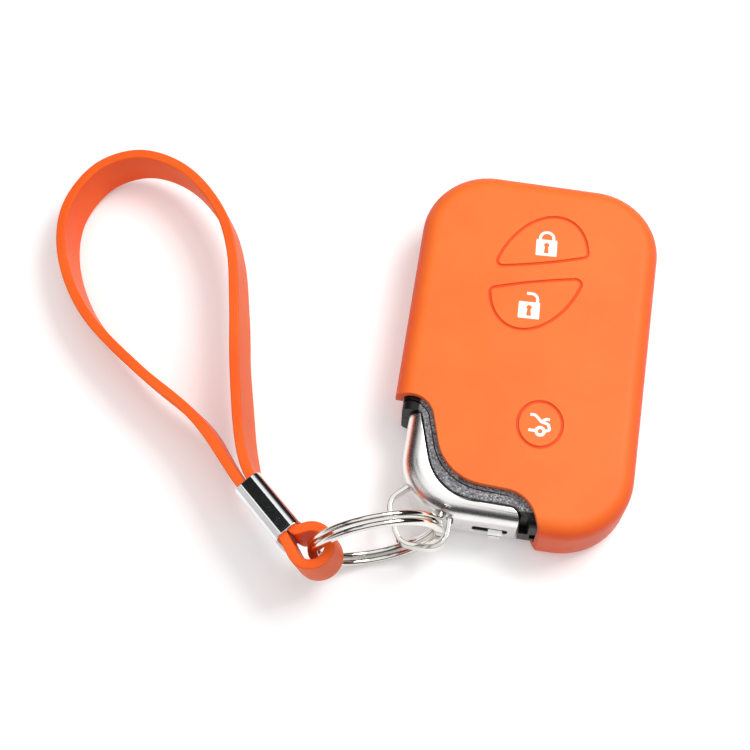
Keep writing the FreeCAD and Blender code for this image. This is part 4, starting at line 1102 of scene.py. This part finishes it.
@dataclass
class KeyHead:
    """The emergency key's cast head, with its latch slot and sockets, and the bent lug for the ring."""

    half_width: float = Casing.half_width - HEAD_INSET
    half_length: float = Casing.half_length - HEAD_END_INSET
    corner: float = Casing.corner - HEAD_INSET
    corner_step: float = 4.0
    bottom: float = 1.9
    top: float = 12.7
    top_round: float = 3.4
    top_faces: int = 14
    bottom_round: float = 1.2
    bottom_faces: int = 5
    edge_soft: float = 0.22
    slot_low: float = -5.2
    slot_high: float = 1.3
    slot_height: float = 5.3
    slot_half: float = 1.3
    slot_round: float = 0.6
    recess_low: float = -8.45
    recess_high: float = 1.7
    recess_half: float = 1.65
    recess_start: float = -32.67
    inner_edge: float = -31.17
    blade_bottom: float = 4.1
    blade_top: float = 6.7
    blade_outline: Sequence[tuple[float, float]] = ((-16.0, -30.4), (-11.2, -30.4), (-11.2, -8.5),
                                                    (-18.4, -8.5), (-18.4, -23.4), (-16.0, -23.4))
    pin_place: tuple[float, float] = (-13.6, -28.8)
    pin_radius: float = 1.03
    pin_top: float = 8.53
    pin_points: int = 32
    rivet_place: tuple[float, float] = (-11.3, 10.15)
    rivet_radius: float = 0.6
    rivet_depth: float = 1.85
    rivet_points: int = 24
    lug_x: float = -9.6
    lug_width: float = 11.9
    lug_depth: float = 5.95
    lug_thickness: float = 0.9
    lug_bottom: float = 7.0
    lug_top: float = 9.4
    lug_bend: float = 3.4
    lug_fit: float = 0.05
    lug_soft: float = 0.22
    overrun: float = 1.0
    lug_shares: Sequence[tuple[float, float]] = ((-0.487, 1.26), (-1.0, 0.286), (-0.72, -1.0),
                                                 (0.0, -1.0), (0.0, 0.42))

    def build(self) -> None:
        """Builds the head and the lug."""
        outline = rounded_plate(self.half_width, self.half_length, self.corner, self.corner_step)
        head = plate("key_head_casting", outline, self.bottom, self.top)
        round_rim(head, self.top, self.top_round, self.top_faces)
        round_rim(head, self.bottom, self.bottom_round, self.bottom_faces)
        low, high = self.bottom - self.overrun, self.top + self.overrun
        combine(head, plate("inner_tool", HEAD_EDGE.beyond(0), low, high), Way.SHARED)
        for tool in self.cutters():
            combine(head, tool, Way.LESS)
        soften(head, self.edge_soft)
        smooth(head)
        finish_piece(head, SATIN_PLATING, Body.KEY, Slot.SATIN_METAL, "key_head")
        # Painted shade: the walls of the latch slot and its recess take the dark finish.
        paint(head, SLOT_SHADE_ZINC, self.in_slot)
        strip = self.lug_path().ribbon(self.lug_thickness)
        lug = plate("ring_lug_strip", strip, self.lug_bottom, self.lug_top)
        soften(lug, self.lug_soft)
        smooth(lug)
        finish_piece(lug, NICKEL_PLATE, Body.KEY, Slot.NICKEL, "ring_lug")

    def in_slot(self, place: Vector) -> bool:
        """Whether a place lies on the walls of the latch slot or its recess."""
        return (self.recess_low - self.edge_soft < place.x < self.recess_high + self.edge_soft
                and abs(place.z - self.slot_height) < self.recess_half + self.edge_soft
                and place.y > self.edge_soft - self.half_length)

    def lug_path(self) -> Path:
        """The lug's centre line in plan."""
        last = len(self.lug_shares) - 1
        return Path([(Vector((self.lug_x + x * self.lug_width, y * self.lug_depth - self.half_length)),
                      0.0 if number in (0, last) else self.lug_bend)
                     for number, (x, y) in enumerate(self.lug_shares)], closed=False)

    def cutters(self) -> list[bpy.types.Object]:
        """Tools that cut the latch slot and its recess, and the sockets of the blade, pin, lug and rivet."""
        front = -self.half_length
        slot = box_outline(self.slot_low, self.slot_high, self.slot_height - self.slot_half,
                           self.slot_height + self.slot_half, self.slot_round)
        recess = box_outline(self.recess_low, self.recess_high, self.slot_height - self.recess_half,
                             self.slot_height + self.recess_half)
        rivet = oval_outline(Vector(self.rivet_place), self.rivet_radius, self.rivet_radius,
                             self.rivet_points)
        blade = [Vector(point) for point in self.blade_outline]
        pin = oval_outline(Vector(self.pin_place), self.pin_radius, self.pin_radius, self.pin_points)
        lug = self.lug_path().ribbon(self.lug_thickness + 2 * self.lug_fit)
        return [
            side_plate("slot_tool", slot, front - self.overrun, self.inner_edge + self.overrun),
            side_plate("recess_tool", recess, self.recess_start, self.inner_edge + self.overrun),
            side_plate("rivet_tool", rivet, front - self.overrun, front + self.rivet_depth),
            plate("blade_tool", blade, self.blade_bottom, self.blade_top),
            plate("pin_tool", pin, self.bottom - self.overrun, self.pin_top),
            plate("lug_tool", lug, self.lug_bottom - self.lug_fit, self.lug_top + self.lug_fit),
        ]


@dataclass
class SplitRing:
    """Two flat coils of one bar standing on edge, with the step between them at the strap's end."""

    radius: float = 11.5
    bar: float = 1.8
    coil: float = 1.0
    pitch: float = 1.45
    heading_degrees: float = 20.0
    open_degrees: float = 20.0
    middle: tuple[float, float, float] = (-22.26, -41.162, 12.4)
    bar_round: float = 0.42
    bar_step: float = 22.5
    turns: int = 2
    turn_step: float = 3.0
    crease: float = 40.0

    def line(self) -> list[Vector]:
        """Centre line of the bar about the ring's axis."""
        start, end = self.open_degrees, 360 * self.turns - self.open_degrees
        count = round((end - start) / self.turn_step)
        points = []
        for number in range(count + 1):
            degrees = start + (end - start) * number / count
            share = min(1.0, max(0.0, (degrees - 360 + self.open_degrees) / (2 * self.open_degrees)))
            way = heading(degrees) * self.radius
            points.append(Vector((way.x, way.y, (eased(share) - 0.5) * self.pitch)))
        return points

    def build(self) -> None:
        """Sweeps the bar's rounded section along the coils."""
        bar = rounded_plate(self.bar / 2, self.coil / 2, self.bar_round, self.bar_step)
        section = curve("ring_section", [point.to_3d() for point in bar], True)
        ring = curve("split_ring_coils", self.line(), False)
        ring.data.twist_mode = "Z_UP"
        ring.data.bevel_mode = "OBJECT"
        ring.data.bevel_object = section
        ring.data.use_fill_caps = True
        choose(ring)
        bpy.ops.object.convert(target="MESH")
        ring = bpy.context.object
        bpy.data.objects.remove(section)
        close_seams(ring)
        along = heading(self.heading_degrees)
        out = Vector((-along.x, -along.y, 0))
        axes = Matrix((out, UP, out.cross(UP))).transposed().to_4x4()
        settle(ring, Matrix.Translation(Vector(self.middle) * MM) @ axes)
        smooth(ring, self.crease)
        finish_piece(ring, NICKEL_PLATE, Body.RING, Slot.NICKEL, "split_ring")


def curve(name: str, points: Sequence[Vector], closed: bool) -> bpy.types.Object:
    """A straight-sided curve object through points in millimetres.

    Args:
        name: Name of the new object.
        points: Places in order.
        closed: Whether its ends meet.

    Returns:
        The new curve.
    """
    data = bpy.data.curves.new(name, "CURVE")
    data.dimensions = "3D"
    spline = data.splines.new("POLY")
    spline.points.add(len(points) - 1)
    for spot, point in zip(spline.points, points):
        spot.co = (*(point * MM), 1.0)
    spline.use_cyclic_u = closed
    made = bpy.data.objects.new(name, data)
    bpy.context.scene.collection.objects.link(made)
    return made


def close_seams(piece: bpy.types.Object) -> None:
    """Merges a mesh's double points and turns its faces outward."""
    choose(piece)
    bpy.ops.object.mode_set(mode="EDIT")
    bpy.ops.mesh.select_all(action="SELECT")
    bpy.ops.mesh.remove_doubles(threshold=SEAM_MERGE * MM)
    bpy.ops.mesh.normals_make_consistent(inside=False)
    bpy.ops.object.mode_set(mode="OBJECT")


@dataclass
class WristStrap:
    """Flat silicone strap standing on edge: a long loop, a fold round the ring and the ferrule between."""

    width: float = 9.0
    thickness: float = 1.9
    slit: float = 0.3
    lift: float = 7.5
    rest: float = 0.05
    loop_width: float = 31.2
    reach: float = 66.8
    fold_space: float = 5.1
    fold_reach: float = 4.95
    fold_heading: float = -24.0
    fold_corners: int = 4
    fold_step: float = 2.5
    ferrule_heading: float = -42.5
    ferrule_length: float = 12.4
    ferrule_wall: float = 0.75
    ferrule_fit: float = 0.08
    ferrule_round: float = 1.9
    ferrule_step: float = 9.0
    ferrule_soft: float = 0.14
    exit_share: float = 0.53
    edge_round: float = 0.32
    edge_faces: int = 4
    lean: float = 8.5
    dip_rounds: int = 20
    seat: tuple[float, float] = (-32.636, -44.938)
    loop_shares: tuple[float, float] = (-0.5557, 0.8234)
    line_shares: Sequence[tuple[float, float]] = (
        (-0.108, 0.170), (-0.165, 0.387), (-0.205, 0.590), (-0.245, 0.755), (-0.312, 0.885), (-0.440, 1.000),
        (-0.586, 1.039), (-0.710, 0.985), (-0.776, 0.850), (-0.752, 0.690), (-0.645, 0.520), (-0.459, 0.368),
        (-0.2525, 0.2315))
    flare_stops: Sequence[tuple[float, float]] = (
        (0.0, 0.0), (6.0, 0.5), (14.0, 0.6), (28.0, 0.3), (48.0, -0.1), (78.0, 0.0), (120.0, 0.0),
        (140.0, -0.6), (156.0, -0.6), (166.0, 0.0))

    def __post_init__(self) -> None:
        """Works out the places that the strap and its ferrule share."""
        self.along = heading(self.ferrule_heading)
        self.left = heading(self.ferrule_heading + 90)
        self.offset = (self.thickness + self.slit) / 2
        self.mouth = self.along * (self.ferrule_length / 2 + self.ferrule_fit)
        self.fold_centre = self.mouth + heading(self.fold_heading) * self.fold_reach
        self.loop_centre = Vector(self.loop_shares) * self.reach

    @staticmethod
    def joining(start: Vector, centre: Vector, end: Vector, swing: float) -> tuple[float, float]:
        """Headings at which a left-hand arc is met from start and left for end.

        Args:
            start: Centre of the bend before, or a point.
            centre: Centre of the arc.
            end: Centre of the bend after, or a point.
            swing: The radii between the two centres.

        Returns:
            Both headings in degrees, the second no smaller.
        """
        arriving, leaving = centre - start, end - centre
        first = math.degrees(math.atan2(arriving.y, arriving.x) - math.asin(swing / arriving.length))
        last = math.degrees(math.atan2(leaving.y, leaving.x) + math.asin(swing / leaving.length))
        while last < first:
            last += 360
        return first, last

    @staticmethod
    def arc(centre: Vector, radius: float, first: float, last: float,
            count: int = 1) -> list[tuple[Vector, float]]:
        """Corners, with their radius, from which an arc between two headings is cut."""
        side = -90 if last > first else 90
        step = (last - first) / count
        spread = radius / math.cos(math.radians(step) / 2)
        return [(centre + heading(first + step * (number + 0.5) + side) * spread, radius)
                for number in range(count)]

    def centre_line(self) -> list[tuple[Vector, Vector]]:
        """The strap's closed centre line in plan about the ferrule's centre, from the ferrule's rear.

        Returns:
            Places and left-hand side vectors: first the fold, then the loop.
        """
        bend = self.thickness * self.exit_share
        right_exit = self.mouth - self.left * (self.offset + bend)
        left_exit = self.mouth + self.left * (self.offset + bend)
        fold = (self.fold_space + self.thickness) / 2
        first, last = self.joining(right_exit, self.fold_centre, left_exit, fold + bend)
        start, end = (self.left * (side * self.offset) - self.mouth for side in (1, -1))
        corners = [(end, 0.0)]
        corners += self.arc(right_exit, bend, self.ferrule_heading, first)
        corners += self.arc(self.fold_centre, fold, first, last, self.fold_corners)
        corners += self.arc(left_exit, bend, last, self.ferrule_heading + 180)
        corners.append((start, 0.0))
        inside = self.along * self.ferrule_length
        spots = [Vector(shares) * self.reach for shares in self.line_shares]
        loop = smooth_line([start + inside, start, *spots, end, end + inside])
        return Path(corners, closed=False, step=self.fold_step).trace() + [
            (here, left_of((after - before).normalized()))
            for before, here, after in zip(loop, loop[1:], loop[2:])]

    def flare(self, distance: float) -> float:
        """How far the lower edge stands out, this far round the loop from the ferrule."""
        for (start, low), (end, high) in zip(self.flare_stops, self.flare_stops[1:]):
            if start <= distance < end:
                return low + (high - low) * eased((distance - start) / (end - start))
        return 0.0

    def let_out(self, strip: bpy.types.Object, traced: list[tuple[Vector, Vector]]) -> None:
        """Twists the strands: the right one's lower edge stands out of the loop, the left one's inside.

        Args:
            strip: The strap's flat band, before its edges are rounded.
            traced: Its centre line.
        """
        rear = self.left * self.offset - self.mouth
        first = min(range(len(traced)), key=lambda number: (traced[number][0] - rear).length)
        traced = traced[first:] + traced[:first]
        tree = KDTree(len(traced))
        shifts = []
        distance = 0.0
        for number, (place, side) in enumerate(traced):
            if number:
                distance += (place - traced[number - 1][0]).length
            tree.insert((place.x, place.y, 0), number)
            shifts.append(side * -self.flare(distance))
        tree.balance()
        for vertex in strip.data.vertices:
            if vertex.co.z < self.width / 2 * MM:
                number = tree.find((vertex.co.x / MM, vertex.co.y / MM, 0))[1]
                vertex.co += shifts[number].to_3d() * MM

    def dip(self) -> float:
        """Angle at which the leaning loop's lowest edge comes down to the table."""
        half, lean = self.width / 2, math.radians(self.lean)
        radius = (self.loop_width + self.thickness) / 2
        reach = (self.loop_centre - self.fold_centre).length
        dip = 0.0
        for _ in range(self.dip_rounds):
            steepness = math.hypot(math.cos(dip) * math.sin(lean), math.sin(dip))
            dip = math.asin((self.lift - self.rest + half - half * math.cos(lean) * math.cos(dip)
                             - radius * steepness) / reach)
        return dip

    def placement(self) -> Matrix:
        """Carries the strap to the ring's outer end, leans it and lets its loop down to the table."""
        toward = (self.loop_centre - self.fold_centre).normalized().to_3d()
        half = self.width / 2
        return (Matrix.Translation(Vector((*self.seat, self.lift + half)) * MM)
                @ Matrix.Rotation(self.dip(), 4, UP.cross(toward))
                @ Matrix.Rotation(-math.radians(self.lean), 4, toward)
                @ Matrix.Translation(Vector((-self.fold_centre.x, -self.fold_centre.y, -half)) * MM))

    def build(self) -> None:
        """Builds the strap and its ferrule."""
        line = self.centre_line()
        outer, inner = ([place + side * shift for place, side in line]
                        for shift in (-self.thickness / 2, self.thickness / 2))
        strip = band("wrist_strap", outer, inner, 0, self.width)
        self.let_out(strip, line)
        soften(strip, self.edge_round, self.edge_faces)
        settle(strip, self.placement())
        smooth(strip)
        finish_piece(strip, STRAP_RUBBER, Body.STRAP, Slot.STRAP_SILICONE, "strap")
        half_wide = self.offset + self.thickness / 2 + self.ferrule_fit
        half_tall = self.width / 2 + self.ferrule_fit
        wall = self.ferrule_wall
        outer = rounded_plate(half_wide + wall, half_tall + wall, self.ferrule_round, self.ferrule_step)
        inner = rounded_plate(half_wide, half_tall, self.ferrule_round - wall, self.ferrule_step)
        half = self.ferrule_length / 2
        sleeve = band("crimped_ferrule", outer, inner, -half, half)
        soften(sleeve, self.ferrule_soft)
        axes = Matrix((Vector((*self.left, 0)), UP, Vector((*self.along, 0)))).transposed().to_4x4()
        settle(sleeve, self.placement() @ Matrix.Translation((0, 0, self.width / 2 * MM)) @ axes)
        smooth(sleeve)
        finish_piece(sleeve, CHROME_PLATE, Body.STRAP, Slot.CHROME, "strap_ferrule")


# CAD nodes that keep their own shape
CARRIED_OVER: dict[str, Finish] = {
    "front_housing": CASE_ABS,
    "rear_housing": REAR_ABS,
    "lock_button": BUTTON_ABS,
    "unlock_button": BUTTON_ABS,
    "boot_button": BUTTON_ABS,
    "lock_plunger": BLACK_MOULDING,
    "unlock_plunger": BLACK_MOULDING,
    "boot_plunger": BLACK_MOULDING,
    "circuit_board": SOLDER_MASK,
    "switch_bodies": BLACK_MOULDING,
    "control_chip": BLACK_MOULDING,
    "board_screws": MILLED_STEEL,
    "coin_cell": CELL_CAN,
    "cell_clip": CONTACT_STRIP,
    "cell_spring": CONTACT_STRIP,
    "latch_spring": CONTACT_STRIP,
    "antenna": FERRITE_CORE,
    "key_blade": MILLED_STEEL,
    "blade_pin": MILLED_STEEL,
    "lug_rivet": SATIN_PLATING,
    "release_latch": SATIN_PLATING,
}


def dress_nodes() -> None:
    """Gives each CAD node that stays its finish."""
    for name, finish in CARRIED_OVER.items():
        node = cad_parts[name]
        node.data.materials.clear()
        node.data.materials.append(finish.material())
        log.info("%s: CAD node in %s", name, finish.name)


@dataclass
class Studio:
    """Pale table, soft light from above and the upper right, and the camera of the photograph."""

    eye: tuple[float, float, float] = (-10.208, -116.739, 280.937)
    target: tuple[float, float, float] = (-28.15, -4.66, 0.0)
    focal_length: float = 73.92
    sensor: float = 36.0
    nearest: float = 10.0
    farthest: float = 20000.0
    table_radius: float = 9000.0
    table_points: int = 128
    table_tone: str = "#E6E6E6"
    table_seen_tone: str = "#F6F6F6"
    table_glow: float = 0.2
    key_place: tuple[float, float, float] = (190.0, 170.0, 420.0)
    key_size: float = 230.0
    key_power: float = 1.5
    fill_place: tuple[float, float, float] = (-260.0, -280.0, 190.0)
    fill_size: float = 300.0
    fill_power: float = 0.3
    sky_tones: Sequence[tuple[float, str]] = ((0.0, "#1C1C1E"), (0.35, "#1E1E20"), (0.62, "#3C3C3E"),
                                              (0.8, "#F0F0F0"), (0.92, "#FFFFFF"))
    sky_strength: float = 1.15
    flag_place: tuple[float, float, float] = (-162.0, 26.0, 262.0)
    flag_size: float = 70.0
    card_place: tuple[float, float, float] = (-128.0, -88.0, 58.0)
    card_size: float = 90.0
    card_aim: tuple[float, float, float] = (-42.0, -38.0, 17.0)

    def build(self) -> None:
        """Builds table, light and camera."""
        self.build_table()
        self.build_card("black_flag", FLAG_FELT, self.flag_place, self.flag_size)
        self.build_card("white_card", BOUNCE_CARD, self.card_place, self.card_size)
        self.build_light()
        self.build_camera()

    def build_table(self) -> None:
        """A round pale table that keeps a soft shadow and looks white where nothing shades it."""
        clear_selection()
        bpy.ops.mesh.primitive_circle_add(vertices=self.table_points, radius=self.table_radius * MM,
                                          fill_type="NGON")
        table = bpy.context.object
        table.name = "table"
        material = bpy.data.materials.new("matt_white_card")
        material.use_nodes = True
        tree = material.node_tree
        tree.nodes.remove(tree.nodes["Principled BSDF"])
        card = add_node(tree, "ShaderNodeBsdfDiffuse", inputs={"Color": linear(self.table_tone)})
        shade = add_node(tree, "ShaderNodeBsdfDiffuse", inputs={"Color": linear(self.table_seen_tone)})
        white = add_node(tree, "ShaderNodeEmission", inputs={"Strength": self.table_glow})
        bright = add_node(tree, "ShaderNodeAddShader", {0: shade.outputs[0], 1: white.outputs[0]})
        rays = add_node(tree, "ShaderNodeLightPath")
        seen = rays.outputs["Is Camera Ray"]
        for kind in ("Is Glossy Ray", "Is Transmission Ray"):
            seen = add_node(tree, "ShaderNodeMath", {0: seen, 1: rays.outputs[kind]},
                            operation="MAXIMUM").outputs[0]
        both = add_node(tree, "ShaderNodeMixShader", {0: seen, 1: card.outputs[0], 2: bright.outputs[0]})
        tree.links.new(both.outputs[0], tree.nodes["Material Output"].inputs["Surface"])
        table.data.materials.append(material)

    def build_card(self, name: str, finish: Finish, spot: tuple[float, float, float], size: float) -> None:
        """A small card, out of the picture, that the ferrule reflects.

        Args:
            name: Name of the card.
            finish: Its surface.
            spot: Where it hangs, in millimetres.
            size: Length of its sides.
        """
        place = Vector(spot)
        turn = (Vector(self.card_aim) - place).to_track_quat("-Z", "Y").to_euler()
        clear_selection()
        bpy.ops.mesh.primitive_plane_add(size=size * MM, location=place * MM, rotation=turn)
        card = bpy.context.object
        card.name = name
        card.visible_camera = False
        card.visible_diffuse = False
        card.visible_shadow = False
        card.data.materials.append(finish.material())

    def build_light(self) -> None:
        """A sky, white overhead and dark at the horizon, a soft key lamp and a weak fill at the left."""
        world = bpy.data.worlds.new("studio")
        bpy.context.scene.world = world
        world.use_nodes = True
        tree = world.node_tree
        place = add_node(tree, "ShaderNodeTexCoord")
        parts = add_node(tree, "ShaderNodeSeparateXYZ", {"Vector": place.outputs["Generated"]})
        tones = add_node(tree, "ShaderNodeValToRGB", {"Fac": parts.outputs["Z"]})
        Finish.fill_ramp(tones, self.sky_tones)
        sky = tree.nodes["Background"]
        sky.inputs["Strength"].default_value = self.sky_strength
        tree.links.new(tones.outputs["Color"], sky.inputs["Color"])
        self.build_softbox("key_softbox", Vector(self.key_place), self.key_size, self.key_power)
        fill = self.build_softbox("fill_softbox", Vector(self.fill_place), self.fill_size, self.fill_power)
        fill.visible_glossy = False

    def build_softbox(self, name: str, place: Vector, size: float, power: float) -> bpy.types.Object:
        """A square lamp that looks at the object.

        Args:
            name: Name of the lamp.
            place: Where it hangs, in millimetres.
            size: Length of its sides.
            power: Its power in watts.

        Returns:
            The lamp.
        """
        clear_selection()
        turn = (Vector(self.target) - place).to_track_quat("-Z", "Y").to_euler()
        bpy.ops.object.light_add(type="AREA", location=place * MM, rotation=turn)
        lamp = bpy.context.object
        lamp.name = name
        lamp.data.shape = "SQUARE"
        lamp.data.size = size * MM
        lamp.data.energy = power
        return lamp

    def build_camera(self) -> None:
        """The photograph's viewpoint."""
        eye = Vector(self.eye)
        turn = (Vector(self.target) - eye).to_track_quat("-Z", "Y").to_euler()
        clear_selection()
        bpy.ops.object.camera_add(location=eye * MM, rotation=turn)
        camera = bpy.context.object
        camera.data.lens = self.focal_length
        camera.data.sensor_width = self.sensor
        camera.data.clip_start = self.nearest * MM
        camera.data.clip_end = self.farthest * MM
        bpy.context.scene.camera = camera


def main() -> None:
    """Builds every piece in order."""
    logging.basicConfig(level=logging.INFO, format="%(name)s: %(message)s")
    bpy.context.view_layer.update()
    bpy.context.scene.view_settings.view_transform = "Standard"
    dress_nodes()
    for assembly in (Cover(), Signs(), Casing(), KeyHead(), SplitRing(), WristStrap(), Studio()):
        assembly.build()
    clear_selection()


if __name__ == "__main__":
    main()
